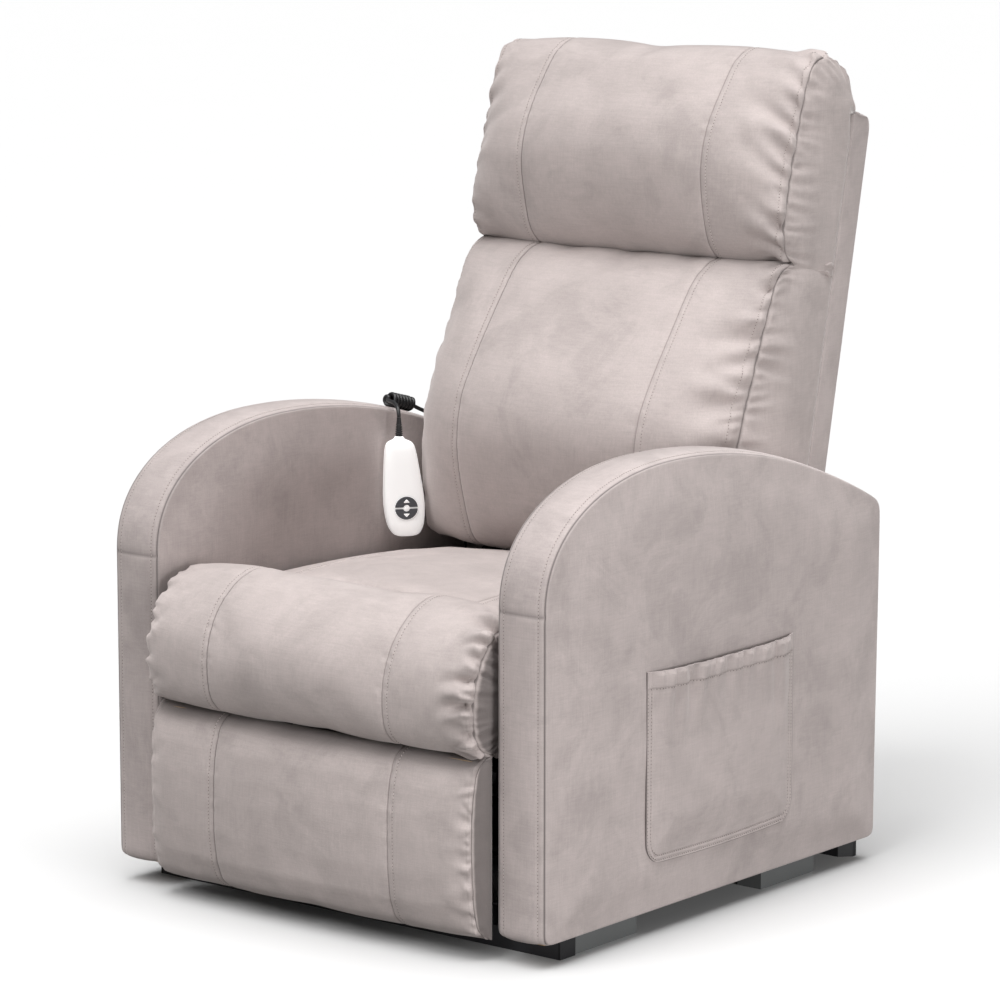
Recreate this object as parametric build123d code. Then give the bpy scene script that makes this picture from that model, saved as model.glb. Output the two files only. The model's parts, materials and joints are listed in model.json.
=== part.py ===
"""Lift recliner chair: sprung seat, reclining back, folding footrest and a powered lift base.

Frame: millimetres, +X across the chair, +Y to the rear, +Z up. The origin is on the floor, midway between
the arms and at mid-depth of the arm panels. The chair faces -Y. Most parts are drawn as side outlines in
the YZ plane, as (y, z), and extruded along X.
"""

import math
import os

from build123d import *

# ---------------------------------------------------------------- driving dimensions
ARM_OUTER_X = 350.0
ARM_WIDTH = 72.5
ARM_INNER_X = ARM_OUTER_X - ARM_WIDTH
ARM_HALF_DEPTH = 350.0
ARM_BOTTOM_Z = 31.0
ARM_FRONT_EDGE_Z = 435.0
ARM_PEAK = (-88.0, 594.0)
ARM_REAR_TOP_Z = 480.0
COVER_THICKNESS = 7.0
ARM_PANEL = 12.0
ARM_RIM = 40.0

BACK_TILT = 11.7
BACK_FOOT = (310.0, 300.0)
BACK_LENGTH = 682.0
BACK_DEPTH = 45.0
BACK_HALF_WIDTH = 266.0
CUSHION_HALF_WIDTH = 262.0

SEAT_HALF_WIDTH = 264.0
SEAT_FRONT_Y = -412.0
SEAT_SEAM_Y = -268.0
SEAT_REAR_Y = 150.0
SEAT_TOP_Z = 434.0
SEAT_DIP_Y = 34.0
SEAT_DIP_Z = 396.0
SEAT_FRAME_TOP_Z = 288.0

# Lift linkage pivots, as (y, z).
LIFT_BASE = (250.0, 76.0)
LIFT_TOP = (-127.0, 115.0)
STAY_BASE = (54.0, 105.0)
STAY_TOP = (-215.0, 134.0)
TORQUE_TUBE = (190.0, 82.0)
LEVER_TIP = (214.0, 226.0)
ACTUATOR_BASE = (-65.0, 42.0)

# Footrest linkage pivots, folded.
DRIVE_PIVOT = (-247.0, 213.0)
DRIVE_KNEE = (-126.0, 101.0)
GUIDE_OFFSET = (45.0, -22.0)
FOOTREST_PIVOT = (-291.0, 156.0)
CONTROL_KNEE = (-109.0, 123.0)
CONTROL_TIP = (-231.0, 183.0)
SYNC_TUBE = (-253.0, 184.0)

BACK_PIVOT = (200.0, 330.0)

# Clearances, radial.
RUNNING = 0.06
LIFT_SLACK = 2.4
CONTROL_SLACK = 1.9
LEVER_SLOT_SLACK = 4.7

# Layers across the chair, as (inner x, outer x), for the right-hand side.
RAIL_X = (223.0, 253.0)
BASE_EAR_X = (253.0, 258.0)
STAY_X = (259.0, 263.0)
LIFT_ARM_X = (265.0, 270.0)
SIDE_PLATE_X = (274.0, 277.0)
CARRIAGE_PLATE_X = (216.0, 220.0)
BRACKET_X = (211.0, 215.0)
CONTROL_X = (206.0, 210.0)
DRIVE_X = (201.0, 205.0)
CARRIER_X = (196.0, 200.0)
GUIDE_X = (191.0, 195.0)
LEVER_X = (14.0, 19.0)

LINK_HALF_WIDTH = 9.0
LIFT_HALF_WIDTH = 14.0
PIN_R = 4.0
PIN_HEAD_R = 7.5
LIFT_PIN_R = 6.0


# ---------------------------------------------------------------- helpers
def add(p, q):
    """The sum of two side-view points."""
    return (p[0] + q[0], p[1] + q[1])


def side_extrude(sketch, x_range):
    """Extrudes a side outline between two x positions."""
    x0, x1 = x_range
    return extrude(Plane.YZ.offset(x0) * sketch, amount=x1 - x0, dir=(1, 0, 0))


def block(x_range, y_range, z_range):
    """A plain box from its three ranges."""
    sizes = [b - a for a, b in (x_range, y_range, z_range)]
    middle = [(a + b) / 2 for a, b in (x_range, y_range, z_range)]
    return Pos(*middle) * Box(*sizes)


def tube_x(x_range, y_range, z_range, wall=2.0):
    """A rectangular steel tube along X."""
    inside = [(a + wall, b - wall) for a, b in (y_range, z_range)]
    return block(x_range, y_range, z_range) - block(x_range, *inside)


def stadium(p, q, radius):
    """A bar outline with round ends, from p to q."""
    length = math.dist(p, q)
    angle = math.degrees(math.atan2(q[1] - p[1], q[0] - p[0]))
    middle = ((p[0] + q[0]) / 2, (p[1] + q[1]) / 2)
    return Pos(*middle) * Rot(0, 0, angle) * SlotCenterToCenter(length, 2 * radius)


def disc(p, radius):
    """A round outline at a side-view point."""
    return Pos(*p) * Circle(radius)


def bar(points, radius, x_range, holes):
    """A flat link through the points, with (point, hole radius) pairs cut through it."""
    outline = stadium(points[0], points[1], radius)
    for p, q in zip(points[1:], points[2:]):
        outline += stadium(p, q, radius)
    for centre, hole_radius in holes:
        outline -= disc(centre, hole_radius)
    return side_extrude(outline, x_range)


def pin(p, radius, x_range, head=None, head_x=None):
    """A round pin along X, with an optional wider head."""
    shape = side_extrude(disc(p, radius), x_range)
    if head:
        shape += side_extrude(disc(p, head), head_x)
    return shape


def both_sides(shape):
    """A right-hand shape with its left-hand mirror image."""
    return [shape, mirror(shape, about=Plane.YZ)]


def back_point(along, depth):
    """A side-view point on the back: along from its foot, and depth forward of its rear face."""
    t = math.radians(BACK_TILT)
    return (
        BACK_FOOT[0] + along * math.sin(t) - depth * math.cos(t),
        BACK_FOOT[1] + along * math.cos(t) + depth * math.sin(t),
    )


def back_outline(corners):
    """A polygon given in the back's own (along, depth) coordinates."""
    return Polygon(*[back_point(*c) for c in corners], align=None)


def back_box(along, depth, x_range):
    """A box lined up with the back."""
    (a0, a1), (d0, d1) = along, depth
    return side_extrude(back_outline([(a0, d0), (a0, d1), (a1, d1), (a1, d0)]), x_range)


def smooth_outline(points):
    """A closed smooth outline through the points."""
    return make_face(Spline(*points, periodic=True))


def faced_outline(points):
    """A smooth curve through the points, closed by a straight line from the last to the first."""
    return make_face(Spline(*points) + Line(points[-1], points[0]))


def serpentine(length, width, pitch, wire):
    """A flat zigzag spring wire outline, running along the sketch's first axis."""
    turns = int(length // pitch)
    step = length / turns
    outline = None
    for i in range(turns):
        x0, x1 = -length / 2 + i * step, -length / 2 + (i + 1) * step
        side = width / 2 if i % 2 == 0 else -width / 2
        pieces = [
            stadium((x0, -side), (x0, side), wire / 2),
            stadium((x0, side), (x1, side), wire / 2),
        ]
        for piece in pieces:
            outline = piece if outline is None else outline + piece
    return outline + stadium((length / 2, -width / 2), (length / 2, width / 2), wire / 2)


def save(name, shapes):
    """Writes one node; several separate solids make one group."""
    if not isinstance(shapes, (list, tuple)):
        shapes = [shapes]
    solids = [s for shape in shapes for s in shape.solids()]
    export_step(Compound(children=solids), f"parts/{name}.step")


# ---------------------------------------------------------------- arms
def arm_outline(inset=0.0):
    """The side outline of an arm: straight front, round front top, long curve falling to the rear."""
    front, rear = -ARM_HALF_DEPTH + inset, ARM_HALF_DEPTH - inset
    bottom = ARM_BOTTOM_Z
    peak = (ARM_PEAK[0], ARM_PEAK[1] - inset)
    spring = (front, ARM_FRONT_EDGE_Z)
    rear_top = (rear, ARM_REAR_TOP_Z - inset)
    front_curve = Pos(peak[0], spring[1]) * EllipticalCenterArc(
        (0, 0), peak[0] - front, peak[1] - spring[1], start_angle=90, arc_size=90
    )
    top_curve = TangentArc(peak, rear_top, tangent=(1, 0))
    edges = Line((front, bottom), spring) + front_curve + top_curve
    edges += Polyline(rear_top, (rear, bottom), (front, bottom))
    return make_face(edges)


def arm_bolt_points():
    return [(-190, 200), (-70, 200), (60, 200), (270, 200)]


def arm_covers():
    """Padded fabric covers, open underneath so that the feet reach the wood."""
    outer = side_extrude(arm_outline(), (ARM_INNER_X, ARM_OUTER_X))
    edges = outer.edges().filter_by(lambda e: e.center().Z > ARM_FRONT_EDGE_Z - 10)
    outer = fillet(edges.filter_by(lambda e: abs(e.center().X - ARM_INNER_X - ARM_WIDTH / 2) > 20), 6)
    hollow_x = (ARM_INNER_X + COVER_THICKNESS, ARM_OUTER_X - COVER_THICKNESS)
    cover = outer - side_extrude(arm_outline(COVER_THICKNESS), hollow_x)
    for p in arm_bolt_points():
        cover -= pin(p, 5, (ARM_INNER_X - 1, hollow_x[0] + 1))
    right, left = both_sides(cover)
    save("arm_cover_left", right)
    save("arm_cover_right", left)


def arm_frames():
    """Plywood arm frames with windows between the posts and rails."""
    gap = COVER_THICKNESS + 0.5
    frame_x = (ARM_INNER_X + gap, ARM_OUTER_X - gap)
    frame = side_extrude(arm_outline(gap), frame_x)
    hollow_x = (frame_x[0] + ARM_PANEL, frame_x[1] - ARM_PANEL)
    hollow = side_extrude(arm_outline(gap + ARM_RIM), hollow_x)
    frame -= hollow - block(hollow_x, (-ARM_HALF_DEPTH, ARM_HALF_DEPTH), (0, ARM_BOTTOM_Z + ARM_RIM))
    columns = [((-270, -120), 420), ((-50, 130), 500), ((180, 290), 430)]
    windows = [(y_range, (90, 170)) for y_range, top in columns]
    windows += [(y_range, (230, top)) for y_range, top in columns]
    for y_range, z_range in windows:
        frame -= block((frame_x[0] - 1, frame_x[1] + 1), y_range, z_range)
    for p in arm_bolt_points():
        frame -= pin(p, PIN_R + RUNNING, (frame_x[0] - 1, frame_x[0] + 28))
    right, left = both_sides(frame)
    save("arm_frame_left", right)
    save("arm_frame_right", left)


def arm_feet():
    """Block feet under the arms."""
    foot_x = (290.0, 327.0)
    feet = []
    for y_range in ((-261.0, -138.0), (127.0, 245.0)):
        feet += both_sides(block(foot_x, y_range, (0.0, ARM_BOTTOM_Z)))
    save("arm_feet", feet)


def side_pocket():
    """A stitched-on pocket on the left arm's outer face: a panel held off by its sewn edges."""
    low_y, high_y, low_z, high_z = -162.0, 147.0, 96.0, 338.0
    radius, edge, stand_off = 30.0, 5.0, 6.5
    sketch = Pos((low_y + high_y) / 2, (low_z + high_z) / 2) * Rectangle(high_y - low_y, high_z - low_z)
    outline = fillet(sketch.vertices().sort_by(Axis.Y)[:2], radius)
    inner = Pos((low_y + high_y) / 2, (low_z + high_z) / 2 + 20) * Rectangle(
        high_y - low_y - 2 * edge, high_z - low_z + 40 - 2 * edge
    )
    inner = fillet(inner.vertices().sort_by(Axis.Y)[:2], radius - edge)
    panel = side_extrude(outline, (ARM_OUTER_X + 0.1, ARM_OUTER_X + stand_off + 2.5))
    save("side_pocket", panel - side_extrude(inner, (ARM_OUTER_X, ARM_OUTER_X + stand_off)))


# ---------------------------------------------------------------- lift base
BAR_Z = (0.0, 25.0)
RAIL_Z = (25.0, 55.0)
FRONT_BAR_Y = (-295.0, -265.0)
MIDDLE_BAR_Y = (-12.5, 12.5)
REAR_BAR_Y = (326.0, 354.0)
FRONT_BAR_HALF = 327.0
REAR_BAR_HALF = 285.0


def base_frame():
    """Welded steel floor frame: two rails on three cross bars, with pivot ears and the actuator mount."""
    frame = tube_x((-FRONT_BAR_HALF, FRONT_BAR_HALF), FRONT_BAR_Y, BAR_Z)
    frame += tube_x((-RAIL_X[1], RAIL_X[1]), MIDDLE_BAR_Y, BAR_Z)
    frame += tube_x((-REAR_BAR_HALF, REAR_BAR_HALF), REAR_BAR_Y, BAR_Z)
    rail = block(RAIL_X, (FRONT_BAR_Y[0], REAR_BAR_Y[1]), RAIL_Z)
    rail -= block((RAIL_X[0] + 2, RAIL_X[1] - 2), (FRONT_BAR_Y[0] - 1, REAR_BAR_Y[1] + 1), (27, 53))
    ears = bar([LIFT_BASE, (LIFT_BASE[0], 42)], 16, BASE_EAR_X, [])
    ears += bar([STAY_BASE, (STAY_BASE[0], 42)], 16, BASE_EAR_X, [])
    for p in (LIFT_BASE, STAY_BASE):
        ears -= pin(p, LIFT_PIN_R + RUNNING, (BASE_EAR_X[0] - 1, BASE_EAR_X[1] + 1))
    for shape in both_sides(rail) + both_sides(ears):
        frame += shape
    mount = bar([ACTUATOR_BASE, (-58, 18), (0, 14)], 10, (16, 20), [(ACTUATOR_BASE, 5 + RUNNING)])
    for shape in both_sides(mount):
        frame += shape - tube_x((-60, 60), MIDDLE_BAR_Y, BAR_Z) - block((-60, 60), (-10.5, 10.5), (2, 23))
    save("base_frame", frame)

    save("base_pivot_bolts", both_sides(
        pin(LIFT_BASE, LIFT_PIN_R, (BASE_EAR_X[0] + 0.2, 273), 9, (LIFT_ARM_X[1] + 0.4, 273))
        + pin(LIFT_BASE, 9, (BASE_EAR_X[1] + 0.1, LIFT_ARM_X[0] - 0.3))
    ) + both_sides(
        pin(STAY_BASE, LIFT_PIN_R, (BASE_EAR_X[0] + 0.2, 264.6), 9, (STAY_X[1] + 0.3, 264.6))
    ))
    save("actuator_mount_pin", pin(ACTUATOR_BASE, 5, (-23, 23), 8, (20.2, 23)))


def base_end_caps():
    """Plastic caps on the cross bars' open ends; the rear pair has its outer corner cut off."""
    front = block((FRONT_BAR_HALF, FRONT_BAR_HALF + 3), FRONT_BAR_Y, BAR_Z)
    cap = Polyline((285, 326), (285, 354), (318, 354), (324, 348), (324, 340), (310, 326), close=True)
    rear = extrude(make_face(cap), amount=21)
    save("base_end_caps", both_sides(front) + both_sides(rear))


def power_supply():
    """Mains transformer fixed to the rear cross bar, with rounded edges."""
    box = fillet(block((-170, -70), (262, 325.9), (2, 42)).edges().filter_by(Axis.X), 6)
    save("power_supply", box)


# ---------------------------------------------------------------- lift linkage
def lift_arms():
    """Long lift arms, joined by a torque tube with the actuator's lever."""
    hole = LIFT_PIN_R + RUNNING
    ends = [(LIFT_BASE, hole), (LIFT_TOP, hole)]
    arm = bar([LIFT_BASE, TORQUE_TUBE, LIFT_TOP], LIFT_HALF_WIDTH, LIFT_ARM_X, ends)
    tube = side_extrude(disc(TORQUE_TUBE, 13) - disc(TORQUE_TUBE, 10.5), (-LIFT_ARM_X[0], LIFT_ARM_X[0]))
    lever = bar([TORQUE_TUBE, LEVER_TIP], 13, LEVER_X, [(LEVER_TIP, 5 + RUNNING)])
    lever -= side_extrude(disc(TORQUE_TUBE, 11), (LEVER_X[0] - 1, LEVER_X[1] + 1))
    whole = tube
    for shape in both_sides(arm) + both_sides(lever):
        whole += shape
    save("lift_arms", whole)
    save("lever_pin", pin(LEVER_TIP, 5, (-22, 22), 8, (19.2, 22)))


def stay_arms():
    """Shorter stay arms that set the tilt; their top holes are wide, where the linkage is left open."""
    arm = bar(
        [STAY_BASE, STAY_TOP], 12, STAY_X,
        [(STAY_BASE, LIFT_PIN_R + RUNNING), (STAY_TOP, LIFT_PIN_R + LIFT_SLACK)],
    )
    save("stay_arms", both_sides(arm))


def actuator():
    """Linear actuator: geared motor and tube on the base, rod on the lever."""
    (y0, z0), (y1, z1) = ACTUATOR_BASE, LEVER_TIP
    length = math.dist(ACTUATOR_BASE, LEVER_TIP)
    line = Plane(
        origin=(0, y0, z0), x_dir=(1, 0, 0), z_dir=(0, (y1 - y0) / length, (z1 - z0) / length)
    )
    tail = line * (Pos(0, 0, 14) * Box(24, 16, 28) - Rot(0, 90, 0) * Cylinder(5 + RUNNING, 40))
    tail += line * (Rot(0, 90, 0) * (Cylinder(9, 24) - Cylinder(5 + RUNNING, 40)))
    gearbox = line * (Pos(0, 0, 56) * fillet(Box(62, 46, 56).edges().filter_by(Axis.Z), 8))
    motor = line * (Pos(58, 2, 78) * Cylinder(21, 100))
    bridge = line * (Pos(34, 0, 56) * Box(30, 34, 50))
    save("actuator_housing", tail + gearbox + motor + bridge)
    tube_start, tube_end = 84.2, 250.0
    bore = 11.5
    tube = Cylinder(17, tube_end - tube_start) - Cylinder(bore, tube_end - tube_start + 2)
    save("actuator_tube", line * (Pos(0, 0, (tube_start + tube_end) / 2) * tube))
    rod_start = 100.0
    rod = Pos(0, 0, (rod_start + length - 16) / 2) * Cylinder(10, length - 16 - rod_start)
    eye = Pos(0, 0, length - 12) * Box(22, 30, 26) + Pos(0, 0, length) * (Rot(0, 90, 0) * Cylinder(15, 22))
    slot = Pos(0, 0, length) * (Rot(0, 90, 0) * Cylinder(5 + LEVER_SLOT_SLACK, 30))
    save("actuator_rod", line * (rod + eye - slot))


# ---------------------------------------------------------------- chair frame
CROSS_TUBE = (-10.0, 165.0)


def chair_frame():
    """Steel side plates, cross tube, wooden rear rail and the seat's guide channels."""
    plate = Polygon((-240, 112), (-100, 92), (60, 120), (299, 120), (299, 250), (-240, 250), align=None)
    for p in arm_bolt_points():
        plate -= disc(p, PIN_R + RUNNING)
    for p in (LIFT_TOP, STAY_TOP):
        plate -= disc(p, LIFT_PIN_R + RUNNING)
    save("side_plates", both_sides(side_extrude(plate, SIDE_PLATE_X)))
    tube = disc(CROSS_TUBE, 12.5) - disc(CROSS_TUBE, 10.5)
    save("frame_cross_tube", side_extrude(tube, (-SIDE_PLATE_X[0], SIDE_PLATE_X[0])))
    save("rear_rail", block((-ARM_INNER_X, ARM_INNER_X), (300.5, 330), (60, 120)))
    channel = block((240, SIDE_PLATE_X[0]), (-205, 165), (212, 248))
    channel -= block((239, 270), (-206, 166), (216, 244))
    save("guide_channels", both_sides(channel))
    caps = pin(LIFT_TOP, LIFT_PIN_R, (263.4, 276.8), 8, (263.4, 264.7))
    caps += pin(LIFT_TOP, 9, (LIFT_ARM_X[1] + 0.4, SIDE_PLATE_X[0] - 0.1))
    stay = pin(STAY_TOP, LIFT_PIN_R, (256, 276.8), 10, (256, STAY_X[0] - 0.4))
    stay += pin(STAY_TOP, 10, (STAY_X[1] + 0.4, SIDE_PLATE_X[0] - 0.1))
    save("frame_pivot_pins", both_sides(caps) + both_sides(stay))
    bolts = [pin(p, PIN_R, (271.2, 305), 7, (271.2, 273.8)) for p in arm_bolt_points()]
    save("arm_bolts", [s for b in bolts for s in both_sides(b)])
    apron = block((-ARM_INNER_X + 0.5, ARM_INNER_X - 0.5), (330.2, 336), (58, 302))
    save("rear_apron", fillet(apron.edges().filter_by(Axis.X), 2))
    box = fillet(block((60, 180), (266, 300.3), (66, 116)).edges().filter_by(Axis.X), 5)
    save("control_box", box)


# ---------------------------------------------------------------- seat carriage
RUNNER_Z = (217.0, 243.0)
SEAT_RAIL_Z = (250.0, SEAT_FRAME_TOP_Z)
SPRING_COUNT = 5


def seat_carriage():
    """Carriage plates with back-pivot horns, nylon runners and the wooden seat frame."""
    guide_pivot = add(DRIVE_PIVOT, GUIDE_OFFSET)
    plate = Polygon(
        (-262, 200), (-225, 176), (-180, 176), (-150, 205), (175, 205), (185, 285), (-262, 285), align=None
    )
    plate += stadium((160, 262), BACK_PIVOT, 16)
    for p, radius in ((DRIVE_PIVOT, PIN_R), (guide_pivot, PIN_R), (BACK_PIVOT, LIFT_PIN_R)):
        plate -= disc(p, radius + RUNNING)
    save("carriage_plates", both_sides(side_extrude(plate, CARRIAGE_PLATE_X)))
    pins = pin(DRIVE_PIVOT, PIN_R, (DRIVE_X[0] + 0.2, 222), 8, (220.2, 222))
    pins_guide = pin(guide_pivot, PIN_R, (GUIDE_X[0] - 2.5, 222), 8, (220.2, 222))
    pins_guide += pin(guide_pivot, 8, (GUIDE_X[0] - 2.5, GUIDE_X[0] - 0.3))
    back_pin = pin(BACK_PIVOT, LIFT_PIN_R, (208, 222.5), 10, (220.2, 222.5))
    back_pin += pin(BACK_PIVOT, 10, (208, 210.7))
    save("carriage_pins", both_sides(pins) + both_sides(pins_guide) + both_sides(back_pin))
    save("slide_runners", both_sides(block((220.2, 268), (-150, 150), RUNNER_Z)))

    side = block((220.2, 256), (-262, 160), SEAT_RAIL_Z)
    front = block((-215.8, 215.8), (-262, -236), SEAT_RAIL_Z)
    rear = block((-215.8, 215.8), (134, 160), SEAT_RAIL_Z)
    save("seat_side_rails", both_sides(side))
    save("seat_cross_rails", [front, rear])
    spring = serpentine(384, 44, 24, 3.6)
    springs = []
    for i in range(SPRING_COUNT):
        x = (i - (SPRING_COUNT - 1) / 2) * 84
        placed = Plane(origin=(x, -51, SEAT_FRAME_TOP_Z + 0.2), x_dir=(0, 1, 0), z_dir=(0, 0, 1)) * spring
        springs.append(extrude(placed, amount=3.6))
    save("seat_springs", springs)


def seat_cushions():
    """Foam seat pad and the front bolster that wraps over the seat's front rail."""
    base_z = SEAT_FRAME_TOP_Z + 5
    seat = block((-SEAT_HALF_WIDTH, SEAT_HALF_WIDTH), (SEAT_SEAM_Y + 1, SEAT_REAR_Y), (base_z, SEAT_TOP_Z))
    seat = fillet(seat.edges().filter_by(Axis.Y).group_by(Axis.Z)[-1], 46)
    dip = block((-SEAT_HALF_WIDTH, SEAT_HALF_WIDTH), (SEAT_DIP_Y, SEAT_REAR_Y), (SEAT_DIP_Z, SEAT_TOP_Z))
    seat -= dip
    save("seat_cushion", seat)
    outline = faced_outline([
        (SEAT_SEAM_Y - 1, 428), (-310, 436), (-358, 420), (-396, 384), (SEAT_FRONT_Y, 330),
        (-398, 284), (-358, 256), (-310, 262), (SEAT_SEAM_Y - 1, 300),
    ])
    bolster = side_extrude(outline, (-SEAT_HALF_WIDTH, SEAT_HALF_WIDTH))
    save("front_bolster", bolster)


# ---------------------------------------------------------------- back
def back():
    """Brackets, wooden frame, springs, upholstered shell and the two back cushions."""
    arm = stadium(BACK_PIVOT, back_point(70, 60), 15) + stadium(back_point(70, 60), back_point(60, 26), 15)
    arm += stadium(back_point(60, 26), back_point(190, 26), 15)
    arm -= disc(BACK_PIVOT, LIFT_PIN_R + RUNNING)
    bolt_points = [back_point(a, 26) for a in (70, 180)]
    for p in bolt_points:
        arm -= disc(p, PIN_R + RUNNING)
    save("back_brackets", both_sides(side_extrude(arm, (211, 215))))
    bolts = [pin(p, PIN_R, (208.4, 240), 7, (208.4, 210.8)) for p in bolt_points]
    save("back_bolts", [s for b in bolts for s in both_sides(b)])

    post = back_box((14, BACK_LENGTH - 12), (8, 42), (215.2, 256))
    for p in bolt_points:
        post -= pin(p, PIN_R + RUNNING, (214, 241))
    save("back_posts", both_sides(post))
    rails = [back_box(a, (8, 42), (-215, 215)) for a in ((212, 250), (420, 460), (630, BACK_LENGTH - 12))]
    save("back_rails", rails)
    springs = []
    for along in (112, 160, 280, 340, 500, 570):
        flat = serpentine(440, 30, 22, 3.2)
        centre = back_point(along, 43)
        t = math.radians(BACK_TILT)
        plane = Plane(
            origin=(0, centre[0], centre[1]), x_dir=(1, 0, 0), z_dir=(0, -math.cos(t), math.sin(t))
        )
        springs.append(extrude(plane * flat, amount=3.2))
    save("back_springs", springs)

    outer = back_box((12, BACK_LENGTH), (0, BACK_DEPTH), (-BACK_HALF_WIDTH, BACK_HALF_WIDTH))
    outer = fillet(outer.edges().filter_by(Axis.X).group_by(Axis.Z)[-1], 5)
    inner_x = BACK_HALF_WIDTH - 8
    outer -= back_box((-10, BACK_LENGTH - 7), (6, BACK_DEPTH + 20), (-inner_x, inner_x))
    save("back_shell", outer)

    lumbar = [
        (112, 50), (66, 232), (157, 276), (205, 283), (275, 264),
        (375, 230), (450, 178), (464, 150), (464, 50),
    ]
    edge = Spline(*[back_point(*p) for p in lumbar[1:8]])
    close = Polyline(*[back_point(*p) for p in (lumbar[7], lumbar[8], lumbar[0], lumbar[1])])
    pad_x = (-CUSHION_HALF_WIDTH, CUSHION_HALF_WIDTH)
    pad = side_extrude(make_face(edge + close), pad_x)
    corner = extrude(
        Polygon((pad_x[1] + 1, 50), (pad_x[1] + 1, 172), (170, 50), align=None), amount=900
    )
    for shape in both_sides(corner):
        pad -= shape
    save("lumbar_cushion", pad)
    head = [(470, 150), (495, 177), (530, 192), (580, 199), (632, 194), (684, 173), (725, 140), (737, 112)]
    edge = Spline(*[back_point(*p) for p in head])
    rear = [head[-1], (733, 80), (712, 56), (690, 50), (470, 50), head[0]]
    close = Polyline(*[back_point(*p) for p in rear])
    save("head_cushion", side_extrude(make_face(edge + close), pad_x))


# ---------------------------------------------------------------- footrest
def footrest_linkage():
    """Flat-bar linkage on each side that swings the footrest out and turns it level."""
    guide_knee = add(DRIVE_KNEE, GUIDE_OFFSET)
    guide_pivot = add(DRIVE_PIVOT, GUIDE_OFFSET)
    hole = PIN_R + RUNNING
    drive = bar([DRIVE_PIVOT, DRIVE_KNEE, CONTROL_KNEE], LINK_HALF_WIDTH, DRIVE_X, [])
    drive += bar([DRIVE_PIVOT, SYNC_TUBE], LINK_HALF_WIDTH, DRIVE_X, [])
    for p, radius in ((DRIVE_PIVOT, hole), (DRIVE_KNEE, hole), (CONTROL_KNEE, hole)):
        drive -= pin(p, radius, (DRIVE_X[0] - 1, DRIVE_X[1] + 1))
    whole = side_extrude(disc(SYNC_TUBE, 8) - disc(SYNC_TUBE, 6.5), (-DRIVE_X[0], DRIVE_X[0]))
    for shape in both_sides(drive):
        whole += shape
    save("drive_links", whole)
    knee = pin(DRIVE_KNEE, PIN_R, (CARRIER_X[0] + 0.1, DRIVE_X[1] - 0.1))
    tip_head = (CONTROL_X[1] + 0.2, CONTROL_X[1] + 0.6)
    tip = pin(CONTROL_KNEE, PIN_R, (DRIVE_X[0] + 0.1, tip_head[1]), PIN_HEAD_R, tip_head)
    save("drive_link_pins", both_sides(knee) + both_sides(tip))

    ends = [(guide_pivot, hole), (guide_knee, hole)]
    guide = bar([guide_pivot, guide_knee], LINK_HALF_WIDTH, GUIDE_X, ends)
    save("guide_links", both_sides(guide))

    carrier = bar(
        [guide_knee, DRIVE_KNEE, FOOTREST_PIVOT], LINK_HALF_WIDTH, CARRIER_X,
        [(guide_knee, hole), (DRIVE_KNEE, hole), (FOOTREST_PIVOT, hole)],
    )
    save("carrier_bars", both_sides(carrier))
    guide_head = (GUIDE_X[0] - 1.6, GUIDE_X[0] - 0.3)
    guide_pin = pin(guide_knee, PIN_R, (guide_head[0], CARRIER_X[1] - 0.1), PIN_HEAD_R, guide_head)
    save("carrier_pins", both_sides(guide_pin))

    control = bar(
        [CONTROL_KNEE, CONTROL_TIP], LINK_HALF_WIDTH, CONTROL_X,
        [(CONTROL_KNEE, PIN_R + CONTROL_SLACK), (CONTROL_TIP, hole)],
    )
    save("control_links", both_sides(control))


FOOTREST_BOARD_Y = (-365.0, -350.0)
FOOTREST_Z = (28.0, 252.0)
FOOTREST_SCREW_X = 201.0
FOOTREST_SCREW_Z = (115.0, 165.0)


def screw_plane(z):
    """Plane under the head of a footrest screw: local z runs forward along its shank."""
    return Plane(origin=(FOOTREST_SCREW_X, FOOTREST_BOARD_Y[1] + 6.2, z), x_dir=(1, 0, 0), z_dir=(0, -1, 0))


def footrest():
    """Footrest board, pad and the brackets that carry them."""
    hole = PIN_R + RUNNING
    foot_top = (FOOTREST_BOARD_Y[1] + 12, 200)
    foot_low = (FOOTREST_BOARD_Y[1] + 12, 90)
    plate = stadium(CONTROL_TIP, FOOTREST_PIVOT, 10) + stadium(FOOTREST_PIVOT, (-336, 145), 11)
    plate += stadium(foot_top, foot_low, 12)
    for p in (CONTROL_TIP, FOOTREST_PIVOT):
        plate -= disc(p, hole)
    bracket = side_extrude(plate, BRACKET_X)
    flange_y = (FOOTREST_BOARD_Y[1] + 0.2, FOOTREST_BOARD_Y[1] + 4)
    bracket += block((BRACKET_X[0] - 20, BRACKET_X[1]), flange_y, (80, 210))
    for z in FOOTREST_SCREW_Z:
        bracket -= extrude(screw_plane(z) * Circle(2.1), amount=8)
    save("footrest_brackets", both_sides(bracket))
    pivot_head = (CARRIER_X[0] - 1.8, CARRIER_X[0] - 0.4)
    pivot = pin(FOOTREST_PIVOT, PIN_R, (pivot_head[0], BRACKET_X[1] - 0.1), PIN_HEAD_R, pivot_head)
    pivot += pin(FOOTREST_PIVOT, PIN_HEAD_R, (CARRIER_X[1] + 0.4, BRACKET_X[0] - 0.1))
    tip = pin(CONTROL_TIP, PIN_R, (CONTROL_X[0] + 0.2, BRACKET_X[1] - 0.1))
    save("footrest_pins", both_sides(pivot) + both_sides(tip))
    board_x = (-258.0, 258.0)
    board = block(board_x, FOOTREST_BOARD_Y, (34, 248))
    screws = []
    for z in FOOTREST_SCREW_Z:
        centre = screw_plane(z)
        screw = extrude(centre * Circle(4.5), amount=2) + extrude(centre * Circle(2), amount=16)
        screws += both_sides(screw)
        for side in both_sides(extrude(centre * Circle(2.05), amount=17)):
            board -= side
    save("footrest_board", board)
    save("footrest_pad", footrest_pad())
    save("footrest_screws", screws)


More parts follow.
